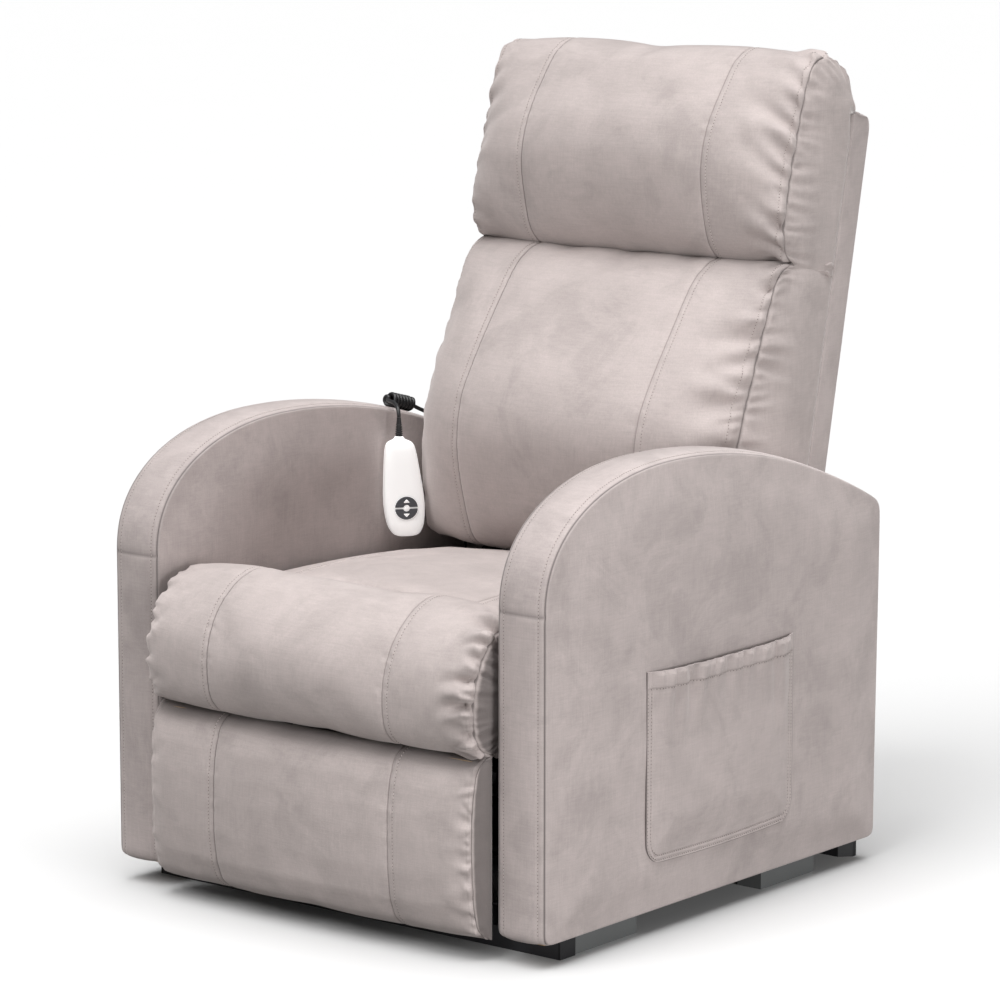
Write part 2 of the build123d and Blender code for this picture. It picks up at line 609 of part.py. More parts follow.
def footrest_pad():
    """The calf pad: a crowned front over a flat back."""
    low, high = FOOTREST_Z
    back_y = FOOTREST_BOARD_Y[0] - 1
    outline = faced_outline([
        (back_y, high - 6), (-374, high), (-388, 232), (-400, 190), (-403, 150), (-400, 100), (-390, 50),
        (-374, low), (back_y, low + 6),
    ])
    return side_extrude(outline, (-SEAT_HALF_WIDTH, SEAT_HALF_WIDTH))


# ---------------------------------------------------------------- handset
HANDSET_CENTRE = (-246.0, 99.0, 466.0)
HANDSET_TURN = 55.0
HANDSET_LENGTH = 132.0
HANDSET_WIDTH = 57.0
HANDSET_THICKNESS = 24.0
BUTTON_DROP = 26.0
BUTTON_R = 15.5
KNUCKLE_RISE = 26.0
KNUCKLE_R = 3.4
KNUCKLE_TURN = 30.0
CORD_END = (-304.0, 135.0, 576.8)


def handset_plane(depth=0.0):
    """Plane of the handset's face: local x across it, local y up it, local z out of its face."""
    turn = math.radians(HANDSET_TURN)
    normal = Vector(math.sin(turn), -math.cos(turn), 0)
    origin = Vector(*HANDSET_CENTRE) + normal * depth
    return Plane(origin=origin, x_dir=(math.cos(turn), math.sin(turn), 0), z_dir=normal)


def handset_outline(inset=0.0):
    """Long tapered oval: narrow shoulders, widest below the middle."""
    half, wide = HANDSET_LENGTH / 2 - inset, HANDSET_WIDTH / 2 - inset
    right = [(0.55, 0.97), (0.80, 0.78), (0.92, 0.35), (1.0, -0.25), (0.93, -0.75), (0.62, -0.97)]
    points = [(0, half)] + [(a * wide, b * half) for a, b in right]
    points += [(0, -half)] + [(-a * wide, b * half) for a, b in reversed(right)]
    return smooth_outline(points)


def button_outline(upper, gap=0.0):
    """Half-moon button, split from its twin by a narrow bar, with a round centre notch."""
    ring = Circle(BUTTON_R + gap) - Circle(4.5 - gap)
    split = 1.2 - gap
    keep = Pos(0, split + 20) * Rectangle(60, 40)
    return ring & (keep if upper else Rot(0, 0, 180) * keep)


def handset():
    """Two-shell handset with two half-moon buttons, hung from a round knuckle above its strain relief."""
    half = HANDSET_THICKNESS / 2
    wells = Sketch() + [Pos(0, -BUTTON_DROP) * button_outline(u, 0.35) for u in (True, False)]
    front = extrude(handset_plane(0.1) * handset_outline(), amount=half - 0.1)
    front = fillet(front.faces().sort_by(Axis((0, 0, 0), handset_plane().z_dir))[-1].edges(), 4)
    front -= extrude(handset_plane(0.0) * handset_outline(3), amount=half - 3)
    front -= extrude(handset_plane(half - 5) * wells, amount=8)
    save("handset_front", front)
    rear = extrude(handset_plane(-0.1) * handset_outline(), amount=-(half - 0.1))
    rear -= extrude(handset_plane(0.0) * handset_outline(3), amount=-(half - 3))
    save("handset_rear", rear)
    for name, upper in (("up_button", True), ("down_button", False)):
        shape = Pos(0, -BUTTON_DROP) * button_outline(upper)
        save(name, extrude(handset_plane(half - 2.9) * shape, amount=4.1))
    top = HANDSET_CENTRE[2] + HANDSET_LENGTH / 2
    x, y = HANDSET_CENTRE[:2]
    relief = Solid.make_cone(5.5, 3.2, 24, Plane(origin=(x, y, top + 1.6)))
    swing = math.radians(KNUCKLE_TURN)
    along = (math.cos(swing), math.sin(swing), 0)
    knuckle = Plane(origin=(x, y, top + KNUCKLE_RISE), x_dir=(0, 0, 1), z_dir=along)
    relief += knuckle * Cylinder(KNUCKLE_R, 2 * KNUCKLE_R)
    save("strain_relief", relief)
    cord = Spline(
        (x, y, top + KNUCKLE_RISE + KNUCKLE_R + 0.6), (-255, 103, 575), (-282, 116, 578), CORD_END,
        tangents=((0, 0, 1), (-0.6, 0.75, -0.1)),
    )
    save("handset_cord", sweep(Plane(origin=cord @ 0, z_dir=cord % 0) * Circle(2.3), path=cord))


def coiled_cord():
    """The coiled part of the cord, resting along the top of the right arm, drawn as a ribbed sleeve."""
    start, length, rings, radius = 138.0, 58.0, 9, 9.5
    points = [(0, 0)]
    for i in range(rings):
        x0 = i * length / rings
        points += [(x0, radius - 2), (x0 + length / rings / 2, radius), (x0 + length / rings, radius - 2)]
    points += [(length, 0)]
    corners = [p for p, before in zip(points, [None] + points) if p != before]
    profile = make_face(Polyline(*corners, close=True))
    sleeve = revolve(profile, Axis.X)
    drop = 17.0
    plane = Plane(origin=(-306, start, 576.8), x_dir=(0, length, -drop), z_dir=(1, 0, 0))
    save("coiled_cord", plane * sleeve)


def main():
    os.makedirs("parts", exist_ok=True)
    arm_covers()
    arm_frames()
    arm_feet()
    side_pocket()
    base_frame()
    base_end_caps()
    power_supply()
    lift_arms()
    stay_arms()
    actuator()
    chair_frame()
    seat_carriage()
    seat_cushions()
    back()
    footrest_linkage()
    footrest()
    handset()
    coiled_cord()


main()
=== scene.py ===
"""Looks for the lift recliner chair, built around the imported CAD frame.

Lengths in the builders are millimetres; meshes are made in metres. The chair faces -Y and +Z is up.
"""

import json
import math

import bmesh
import bpy
import numpy as np
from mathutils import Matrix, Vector


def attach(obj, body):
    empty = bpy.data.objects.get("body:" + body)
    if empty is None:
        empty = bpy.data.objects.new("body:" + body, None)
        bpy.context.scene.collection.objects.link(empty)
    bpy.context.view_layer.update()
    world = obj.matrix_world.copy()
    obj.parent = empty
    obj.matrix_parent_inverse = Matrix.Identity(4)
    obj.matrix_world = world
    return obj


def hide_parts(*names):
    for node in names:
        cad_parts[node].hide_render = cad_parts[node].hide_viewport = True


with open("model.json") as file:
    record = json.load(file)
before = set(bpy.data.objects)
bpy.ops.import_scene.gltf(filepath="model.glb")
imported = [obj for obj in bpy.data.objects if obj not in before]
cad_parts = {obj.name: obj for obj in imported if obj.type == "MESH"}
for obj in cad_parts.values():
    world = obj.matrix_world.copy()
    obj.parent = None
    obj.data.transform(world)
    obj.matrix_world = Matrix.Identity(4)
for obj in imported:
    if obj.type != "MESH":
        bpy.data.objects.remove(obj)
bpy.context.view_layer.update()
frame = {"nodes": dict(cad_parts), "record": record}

MM = 0.001
BACK_TILT = math.radians(11.7)
BACK_FOOT = np.array([310.0, 300.0])
SIDEWAYS, BACKWARD, UPWARD = np.eye(3)
FORWARD = np.array([0.0, -1.0, 0.0])
PANEL_SEAM = 147.0
STITCH_OFFSET = 8.0
STITCH_PITCH = 4.4
GATHER_SHARES = ((-1, 0.3), (1, 1.0))  # which side, and the share of its folds' full height


# ---------------------------------------------------------------- curves and grids
def smoothstep(x):
    x = np.clip(x, 0.0, 1.0)
    return x * x * (3 - 2 * x)


def bell(x):
    return np.exp(-x * x)


def gauss_smooth(values, sigma):
    """Smooths rows of values along axis 0 and keeps the two ends in place."""
    radius = int(3 * sigma) + 1
    kernel = bell(np.arange(-radius, radius + 1) / (sigma * math.sqrt(2)))
    kernel /= kernel.sum()
    ends = (values[0], values[-1])
    before = 2 * ends[0] - values[radius:0:-1]
    after = 2 * ends[1] - values[-2 : -radius - 2 : -1]
    padded = np.concatenate([before, values, after])
    return np.stack([np.convolve(padded[:, k], kernel, "valid") for k in range(values.shape[1])], 1)


def path_length(points):
    """Distance along a path at each of its points."""
    return np.r_[0, np.cumsum(np.linalg.norm(np.diff(points, axis=0), axis=1))]


def along_path(at, length, points):
    """Points of a path at the given distances along it."""
    return np.stack([np.interp(at, length, points[:, k]) for k in range(points.shape[1])], 1)


def smooth_path(points, count=400, sigma=9.0):
    """Points joined by straight lines, resampled evenly and rounded off."""
    points = np.asarray(points, float)
    length = path_length(points)
    return gauss_smooth(along_path(np.linspace(0, length[-1], count), length, points), sigma)


def unit(vectors):
    return vectors / np.maximum(np.linalg.norm(vectors, axis=-1, keepdims=True), 1e-9)


def blur(grid, sigma):
    """Evens out a grid of vectors along both of its axes, leaving its rim fixed."""
    for axis in (0, 1):
        rows = np.moveaxis(grid, axis, 0)
        shape = rows.shape
        rows = gauss_smooth(rows.reshape(shape[0], -1), sigma).reshape(shape)
        grid = np.moveaxis(rows, 0, axis)
    return grid


def spaced(low, high, step, centres=(), fine=1.0, width=1.0):
    """Coordinates from low to high: step apart, closing up to fine near each centre."""
    x = np.linspace(low, high, 6000)
    density = np.full_like(x, 1 / step)
    for c in centres:
        density = np.maximum(density, 1 / step + (1 / fine - 1 / step) * bell((x - c) / width))
    total = np.r_[0, np.cumsum((density[1:] + density[:-1]) / 2 * np.diff(x))]
    return np.interp(np.linspace(0, total[-1], int(math.ceil(total[-1])) + 1), total, x)


def resample(grid, old, new, axis):
    """Cubic interpolation of a grid along one axis, from evenly spaced coordinates to new ones."""
    grid = np.moveaxis(grid, axis, 0)
    n = len(old)
    t = np.clip((new - old[0]) / (old[-1] - old[0]) * (n - 1), 0, n - 1 - 1e-9)
    i = np.floor(t).astype(int)
    f = (t - i).reshape((-1,) + (1,) * (grid.ndim - 1))
    p1, p2 = grid[i], grid[np.minimum(i + 1, n - 1)]
    p0 = np.where((i > 0).reshape(f.shape), grid[np.maximum(i - 1, 0)], 2 * p1 - p2)
    p3 = np.where((i + 2 < n).reshape(f.shape), grid[np.minimum(i + 2, n - 1)], 2 * p2 - p1)
    square, cube = 2 * p0 - 5 * p1 + 4 * p2 - p3, 3 * p1 - p0 - 3 * p2 + p3
    return np.moveaxis(0.5 * (2 * p1 + (p2 - p0) * f + square * f**2 + cube * f**3), 0, axis)


def grid_normals(grid, outward):
    """Unit normals of a grid of points; outward is any direction that the middle should face."""
    normal = unit(np.cross(np.gradient(grid, axis=1), np.gradient(grid, axis=0)))
    middle = normal[grid.shape[0] // 2, grid.shape[1] // 2]
    return normal if middle @ outward > 0 else -normal


def link(name, data):
    """A new object in the scene."""
    obj = bpy.data.objects.new(name, data)
    bpy.context.scene.collection.objects.link(obj)
    return obj


def make_mesh(name, verts, faces, material, painted_shade=None):
    """A mesh object from millimetre points, smooth shaded, with its painted shade value on each point."""
    mesh = bpy.data.meshes.new(name)
    mesh.from_pydata([tuple(v) for v in np.asarray(verts) * MM], [], [tuple(f) for f in faces])
    mesh.polygons.foreach_set("use_smooth", [True] * len(mesh.polygons))
    if painted_shade is not None:
        layer = mesh.attributes.new("painted_shade", "FLOAT", "POINT")
        layer.data.foreach_set("value", np.asarray(painted_shade, np.float32).ravel())
    mesh.materials.append(material)
    mesh.validate()
    mesh.update()
    return link(name, mesh)


def seal(obj):
    """Merges points that meet, drops faces with no area and turns the rest outward."""
    bm = bmesh.new()
    bm.from_mesh(obj.data)
    bmesh.ops.remove_doubles(bm, verts=bm.verts, dist=1e-6)
    bmesh.ops.dissolve_degenerate(bm, edges=bm.edges, dist=1e-7)
    bmesh.ops.recalc_face_normals(bm, faces=bm.faces)
    if bm.calc_volume(signed=True) < 0:
        bmesh.ops.reverse_faces(bm, faces=bm.faces)
    bm.to_mesh(obj.data)
    bm.free()
    return obj


def grid_faces(rows, cols, flip=False, wrap=False):
    """Quads of a grid. flip winds them the other way, wrap joins the last column to the first."""
    r = np.arange(rows - 1)
    c = np.arange(cols if wrap else cols - 1)
    rr, cc = np.meshgrid(r, c, indexing="ij")
    r2, c2 = rr + 1, (cc + 1) % cols
    quads = np.stack([rr * cols + cc, rr * cols + c2, r2 * cols + c2, r2 * cols + cc], -1).reshape(-1, 4)
    return quads[:, ::-1] if flip else quads


def loft(name, rings, material):
    """A closed solid skinned over rings of points, with flat ends."""
    rings = np.asarray(rings)
    rows, cols = rings.shape[:2]
    faces = grid_faces(rows, cols, wrap=True).tolist()
    faces += [list(range(cols - 1, -1, -1)), list(range((rows - 1) * cols, rows * cols))]
    return seal(make_mesh(name, rings.reshape(-1, 3), faces, material))


def rim_loop(rows, cols):
    """Indices round the rim of a grid."""
    low = list(range(cols))
    right = [r * cols + cols - 1 for r in range(1, rows)]
    top = [(rows - 1) * cols + c for c in range(cols - 2, -1, -1)]
    left = [r * cols for r in range(rows - 2, 0, -1)]
    return low + right + top + left


# ---------------------------------------------------------------- folds and stitches
def gathers(along, depth, seed, pitch, height, reach, lean):
    """Height of gathered folds that start at a seam (depth 0) and die away from it."""
    rng = np.random.default_rng(seed)
    out = np.zeros(np.broadcast(along, depth).shape)
    at, high = along.min() + pitch * rng.uniform(0.2, 0.8), along.max()
    while at < high:
        wide = pitch * rng.uniform(0.28, 0.55)
        tall = height * rng.uniform(0.35, 1.0)
        far = reach * rng.uniform(0.35, 1.0)
        slope = lean * rng.uniform(-1, 1)
        bend = rng.uniform(-1, 1) * lean / (2 * reach)
        u = (along - at - slope * depth - bend * depth**2) / (wide * (1 + 0.9 * depth / far))
        fade = (1 - smoothstep(depth / far)) * (0.35 + 0.65 * smoothstep(depth / 6.0))
        side = rng.choice([-1.0, 1.0])
        out += tall * fade * (bell(u) - 0.75 * bell((u - side * 1.35) * 1.25))
        at += pitch * rng.uniform(0.6, 1.5)
    return out


def side_folds(a, b, face_half, seed, near, far, gusset):
    """Gathers along both gusset seams: fine ones, long ones, and those on the gusset itself."""
    depth = np.abs(np.abs(a) - face_half)
    on_face = np.abs(a) < face_half
    folds = np.zeros_like(a)
    for side, share in GATHER_SHARES:
        fine = gathers(b, depth, seed + side, *near)
        long = gathers(b, depth, seed + 10 + side, *far)
        edge = gathers(b, depth, seed + 20 + side, *gusset)
        folds += share * (np.sign(a) == side) * np.where(on_face, fine + long, edge)
    return folds


def dents(a, b, seed, count, size, height):
    """Long soft hollows and ridges that break up an even surface."""
    rng = np.random.default_rng(seed)
    out = np.zeros(np.broadcast(a, b).shape)
    for _ in range(count):
        ca, cb = rng.uniform(a.min(), a.max()), rng.uniform(b.min(), b.max())
        turn = rng.uniform(0, math.pi)
        u = (a - ca) * math.cos(turn) + (b - cb) * math.sin(turn)
        v = (b - cb) * math.cos(turn) - (a - ca) * math.sin(turn)
        long, short = size * rng.uniform(0.7, 1.5), size * rng.uniform(0.2, 0.45)
        out += height * rng.uniform(-1, 1) * bell(u / long) * bell(v / short)
    return out


# A stitch of thread and, after it, a dark bead of painted shade standing in for the shadow in the needle hole, both
# as beads of rings along the seam:
# half length, half width, half height, lift off the surface and shift along the seam.
THREAD_BEAD = (1.45, 0.48, 0.42, 0.12, 0.0)
HOLE_SHADE_BEAD = (0.42, 0.62, 0.34, 0.02, 2.15)
BEAD_RINGS = ((-1.0, 0.45), (-0.55, 1.0), (0.55, 1.0), (1.0, 0.45))
BEAD_SIDES = 6
stitches = {}


def stitch(group, points, normals):
    """Adds a row of thread stitches and needle holes along a path on a surface."""
    length = path_length(points)
    at = (np.arange(int(length[-1] / STITCH_PITCH)) + 0.5) * STITCH_PITCH
    ahead = unit(along_path(at + 0.5, length, points) - along_path(at - 0.5, length, points))
    normal = unit(along_path(at, length, normals))
    row = along_path(at, length, points), normal, ahead, np.cross(normal, ahead)
    stitches.setdefault(group, []).append(row)


def stitch_objects(materials):
    """One object of thread for each group, with the painted shade of its needle holes in a second, dark material.
    """
    turns = np.linspace(0, 2 * math.pi, BEAD_SIDES, endpoint=False)
    bead = grid_faces(len(BEAD_RINGS), BEAD_SIDES, wrap=True).tolist()
    bead += [list(range(BEAD_SIDES - 1, -1, -1)), list(range(3 * BEAD_SIDES, 4 * BEAD_SIDES))]
    made = {}
    for group, rows in stitches.items():
        verts, faces, kinds = [], [], []
        for point, normal, ahead, aside in (place for row in rows for place in zip(*row)):
            for kind, (half, wide, tall, lift, shift) in enumerate((THREAD_BEAD, HOLE_SHADE_BEAD)):
                centre = point + normal * lift + ahead * shift
                faces += [[len(verts) + k for k in face] for face in bead]
                kinds += [kind] * len(bead)
                for span, size in BEAD_RINGS:
                    ring = centre + ahead * span * half
                    verts += [ring + aside * math.cos(t) * wide * size + normal * math.sin(t) * tall * size
                              for t in turns]
        obj = make_mesh(group, np.array(verts), faces, materials[0])
        obj.data.materials.append(materials[1])
        obj.data.polygons.foreach_set("material_index", kinds)
        made[group] = obj
    return made


# ---------------------------------------------------------------- cloth
CLOTH_SETTINGS = dict(vertex_group_mass="pin", quality=6, mass=0.25, tension_stiffness=12,
                      compression_stiffness=12, shear_stiffness=4, bending_stiffness=0.4,
                      air_damping=2, use_pressure=True)


def run_cloth(jobs, frames=20):
    """Inflates every job's grid with pressure, held at its pinned points, and caps how far a point moves."""
    scene = bpy.context.scene
    made = []
    for job in jobs:
        grid = job["grid"]
        mesh = bpy.data.meshes.new("sim")
        faces = grid_faces(*grid.shape[:2], job["flip"]).tolist()
        mesh.from_pydata([tuple(v) for v in grid.reshape(-1, 3) * MM], [], faces)
        obj = link("sim", mesh)
        group = obj.vertex_groups.new(name="pin")
        pins = np.round(job["pin"].ravel(), 2)
        for level in np.unique(pins[pins > 0]):
            group.add(np.nonzero(pins == level)[0].tolist(), float(level), "REPLACE")
        modifier = obj.modifiers.new("cloth", "CLOTH")
        modifier.point_cache.frame_start, modifier.point_cache.frame_end = 1, frames
        cloth = modifier.settings
        for key, value in CLOTH_SETTINGS.items():
            setattr(cloth, key, value)
        cloth.uniform_pressure_force = job["pressure"]
        cloth.shrink_min = -job["growth"]
        cloth.effector_weights.gravity = 0
        made.append(obj)
    for f in range(1, frames + 1):
        scene.frame_set(f)
    graph = bpy.context.evaluated_depsgraph_get()
    for job, obj in zip(jobs, made):
        done = obj.evaluated_get(graph).data
        co = np.zeros(len(done.vertices) * 3)
        done.vertices.foreach_get("co", co)
        moved = blur(co.reshape(job["grid"].shape) / MM - job["grid"], 1.6)
        size = np.linalg.norm(moved, axis=2, keepdims=True)
        job["grid"] = job["grid"] + moved * (job["cap"] * np.tanh(size / job["cap"]) / np.maximum(size, 1e-6))
    scene.frame_set(1)
    for obj in made:
        bpy.data.objects.remove(obj)


# ---------------------------------------------------------------- pillows
SEAM_PIN = 0.3
START_INSET = 4.0
SEAM_END_FADE = 0.03


class Pillow:
    """A sewn cushion: a crowned face with upright seams, side gussets and a flat hidden back.

    outlines are the middle, side seam and back edge as (y, z) points, from one end of the face to the other.
    Across the cushion, a runs from the back edge of one gusset, over the face, to the back edge of the other,
    and b runs along the outlines.
    """

    def __init__(self, name, outlines, face, half=266.0, seam=PANEL_SEAM, face_half=259.0, gusset=56.0, step=8.0,
                 round_to=2.6, round_power=0.6, sigma=9.0, bulge=4.0, pressure=2.0, growth=0.02, cap=6.0,
                 folds=None, hollows=(), end_shade=0.0, top_shade=0.0, stitch_ends=True):
        self.name, self.face, self.half, self.face_half, self.gusset = name, face, half, face_half, gusset
        self.round_to, self.round_power, self.bulge, self.stitch_ends = round_to, round_power, bulge, stitch_ends
        self.folds, self.hollows, self.end_shade, self.top_shade = folds, hollows, end_shade, top_shade
        self.seams = [] if seam is None else [-seam, seam]
        self.seam_lines = self.seams + [-face_half, face_half]
        self.profile = smooth_path(np.hstack([np.array(line, float) for line in outlines]), sigma=sigma)
        self.length = (path_length(self.profile[:, :2]) + path_length(self.profile[:, 2:4])) / 2
        edge = face_half + gusset
        self.a = np.linspace(-edge, edge, int(2 * edge / step) // 2 * 2 + 1)
        self.b = np.linspace(0, self.length[-1], int(self.length[-1] / step))
        grid = self.shape(self.b, self.a)
        across, along = np.gradient(grid, axis=1), np.gradient(grid, axis=0)
        self.flip = np.cross(across, along)[grid.shape[0] // 2, grid.shape[1] // 2] @ face < 0
        aa, bb = np.meshgrid(self.a, self.b)
        pin = np.zeros(grid.shape[:2])
        for s in self.seam_lines:
            pin = np.maximum(pin, (np.abs(aa - s) < step * 0.55) * (SEAM_PIN if abs(s) < face_half else 1.0))
        pin[:, 0] = pin[:, -1] = pin[0] = pin[-1] = 1.0
        room = np.minimum(np.minimum(bb, self.b[-1] - bb), edge - np.abs(aa))
        inward = grid_normals(grid, face) * (START_INSET * smoothstep(room / 24.0))[..., None]
        self.job = {"grid": grid - inward, "pin": pin, "flip": self.flip,
                    "pressure": pressure, "growth": growth, "cap": cap}

    def shape(self, b, a):
        """Points of the plain cushion before it is filled."""
        row = along_path(b, self.length, self.profile)[:, None, :]
        middle, seam, back = row[..., 0:2], row[..., 2:4], row[..., 4:6]
        x = np.clip(np.abs(a) / self.face_half, 0, 1)[None, :, None]
        r = np.clip((np.abs(a) - self.face_half) / self.gusset, 0, 1)
        crown = (1 - x**self.round_to) ** self.round_power
        face = seam + (middle - seam) * crown
        side = seam + (back - seam) * r[None, :, None]
        width = np.clip(np.abs(a), 0, self.face_half) + (self.half - self.face_half) * np.sin(r * math.pi / 2)
        swell = self.bulge * np.sin(r * math.pi)
        ends = smoothstep(np.minimum(b, b[-1] - b) / 30.0)
        out = np.zeros((len(b), len(a), 3))
        out[..., 0] = np.sign(a)[None, :] * (width[None, :] + swell[None, :] * ends[:, None])
        out[..., 1:] = np.where(r[None, :, None] > 0, side, face)
        return out

    def thread_line(self, s):
        """Where the stitching beside a seam runs, outward of an upright seam and inward of a gusset seam."""
        return s + np.sign(s) * STITCH_OFFSET * (1 if s in self.seams else -1)

    def build(self, material, group, step=3.4, fine=0.75):
        """The finished mesh: the filled grid made finer, with seams, folds and stitches worked in."""
        wide = [s + k * STITCH_OFFSET * 0.5 for s in self.seam_lines for k in (-1, 0, 1)]
        a = spaced(self.a[0], self.a[-1], step, wide, fine, 5.0)
        b = spaced(self.b[0], self.b[-1], step)
        grid = resample(resample(self.job["grid"], self.a, a, 1), self.b, b, 0)
        aa, bb = np.meshgrid(a, b)
        normal = grid_normals(grid, self.face)
        height = dents(aa, bb, *self.hollows)
        if self.folds:
            height = side_folds(aa, bb, self.face_half, *self.folds) + height
        # Painted shade: gussets darkened towards the cushion's ends (end_shade), and a painted shadow along the
        # pad's top where the bolster overhangs it (top_shade).
        painted_shade = self.end_shade * smoothstep((np.abs(aa) - self.face_half - 1) / 4.0)
        painted_shade = np.maximum(painted_shade, self.top_shade * (1 - smoothstep((bb - 30.0) / 30.0)))
        for s in self.seam_lines:
            d = aa - s
            inner = s in self.seams
            height = height - 1.1 * bell(d / 1.0) - (0.9 if inner else 0.4) * bell(d / 5.0)
            # Painted shade in the seam crease, lighter on the upright seam at +X.
            painted_shade = np.maximum(painted_shade, (0.5 if inner and s > 0 else 0.9) * bell(d / 0.7))
            height = height - 0.55 * bell((aa - self.thread_line(s)) / 1.5)
            if inner:
                height = height + gathers(bb, np.abs(d), 900 + int(abs(s)), 8.0, 0.8, 17.0, 0.3)
        rim = smoothstep(np.minimum(bb, self.b[-1] - bb) / 14.0)
        edge = smoothstep((self.a[-1] - np.abs(aa)) / 10.0)
        grid = grid + normal * (height * rim * edge)[..., None]
        ends = self.b[-1] * SEAM_END_FADE, self.b[-1] * (1 - SEAM_END_FADE)
        inside = slice(*np.searchsorted(b, ends))
        for s in self.seam_lines:
            if group and (s in self.seams or self.stitch_ends):
                k = int(np.argmin(np.abs(a - self.thread_line(s))))
                stitch(group, grid[inside, k], normal[inside, k])
        rim_face = rim_loop(*grid.shape[:2])
        faces = [*grid_faces(*grid.shape[:2], self.flip).tolist(), rim_face if self.flip else rim_face[::-1]]
        return seal(make_mesh(self.name, grid.reshape(-1, 3), faces, material, painted_shade))


def on_back(along, depth):
    """(y, z) of a point given up the back from its foot and forward of its rear face."""
    sin, cos = math.sin(BACK_TILT), math.cos(BACK_TILT)
    return BACK_FOOT[0] + along * sin - depth * cos, BACK_FOOT[1] + along * cos + depth * sin


def to_back(y, z):
    """The (along, depth) on the back of a side-view point."""
    sin, cos = math.sin(BACK_TILT), math.cos(BACK_TILT)
    dy, dz = y - BACK_FOOT[0], z - BACK_FOOT[1]
    return dy * sin + dz * cos, dz * sin - dy * cos


def rear_of(point, depth=46.0, highest=672.0):
    """The point straight behind a side-view point, on the front plane of the back shell."""
    return on_back(min(to_back(*point)[0], highest), depth)


# ---------------------------------------------------------------- materials
class Shader:
    """A material's node tree, with short ways to add textures to its surface."""

    def __init__(self, name):
        self.material = bpy.data.materials.new(name)
        self.material.use_nodes = True
        self.nodes, self.links = self.material.node_tree.nodes, self.material.node_tree.links
        self.surface = self.nodes["Principled BSDF"].inputs
        self.place = self.nodes.new("ShaderNodeTexCoord").outputs["Object"]

    def feed(self, socket, value):
        """Gives a socket a number, a colour or another node's output."""
        if isinstance(value, bpy.types.NodeSocket):
            self.links.new(value, socket)
        elif socket.type == "RGBA":
            socket.default_value = (*value, 1)
        else:
            socket.default_value = value

    def finish(self, **values):
        """Feeds the surface's inputs, named with _ for each space, and hands back the material."""
        for name, value in values.items():
            self.feed(self.surface[name.replace("_", " ")], value)
        return self.material

    def stretched(self, place, scale):
        node = self.nodes.new("ShaderNodeMapping")
        self.feed(node.inputs["Vector"], place)
        self.feed(node.inputs["Scale"], scale)
        return node.outputs["Vector"]

    def noise(self, place, scale, detail=4.0, rough=0.55, distort=0.0):
        node = self.nodes.new("ShaderNodeTexNoise")
        values = {"Vector": place, "Scale": scale, "Detail": detail, "Roughness": rough, "Distortion": distort}
        for name, value in values.items():
            self.feed(node.inputs[name], value)
        return node.outputs["Fac"]

    def ramp(self, value, *stops):
        """Grey levels at the given positions."""
        node = self.nodes.new("ShaderNodeValToRGB")
        while len(node.color_ramp.elements) < len(stops):
            node.color_ramp.elements.new(0.5)
        for element, (at, grey) in zip(node.color_ramp.elements, stops):
            element.position = at
            element.color = (grey, grey, grey, 1)
        self.links.new(value, node.inputs["Fac"])
        return node.outputs["Color"]

    def maths(self, kind, *values, clamp=False):
        node = self.nodes.new("ShaderNodeMath")
        node.operation = kind
        node.use_clamp = clamp
        for socket, value in zip(node.inputs, values):
            self.feed(socket, value)
        return node.outputs["Value"]

    def mix(self, factor, a, b, blend="MIX"):
        node = self.nodes.new("ShaderNodeMix")
        node.data_type = "RGBA"
        node.blend_type = blend
        for name, value in (("Factor", factor), ("A", a), ("B", b)):
            self.feed(node.inputs[name], value)
        return node.outputs["Result"]

    def bump(self, height, strength, distance, normal=None):
        node = self.nodes.new("ShaderNodeBump")
        for name, value in (("Strength", strength), ("Distance", distance), ("Height", height)):
            self.feed(node.inputs[name], value)
        if normal:
            self.links.new(normal, node.inputs["Normal"])
        return node.outputs["Normal"]


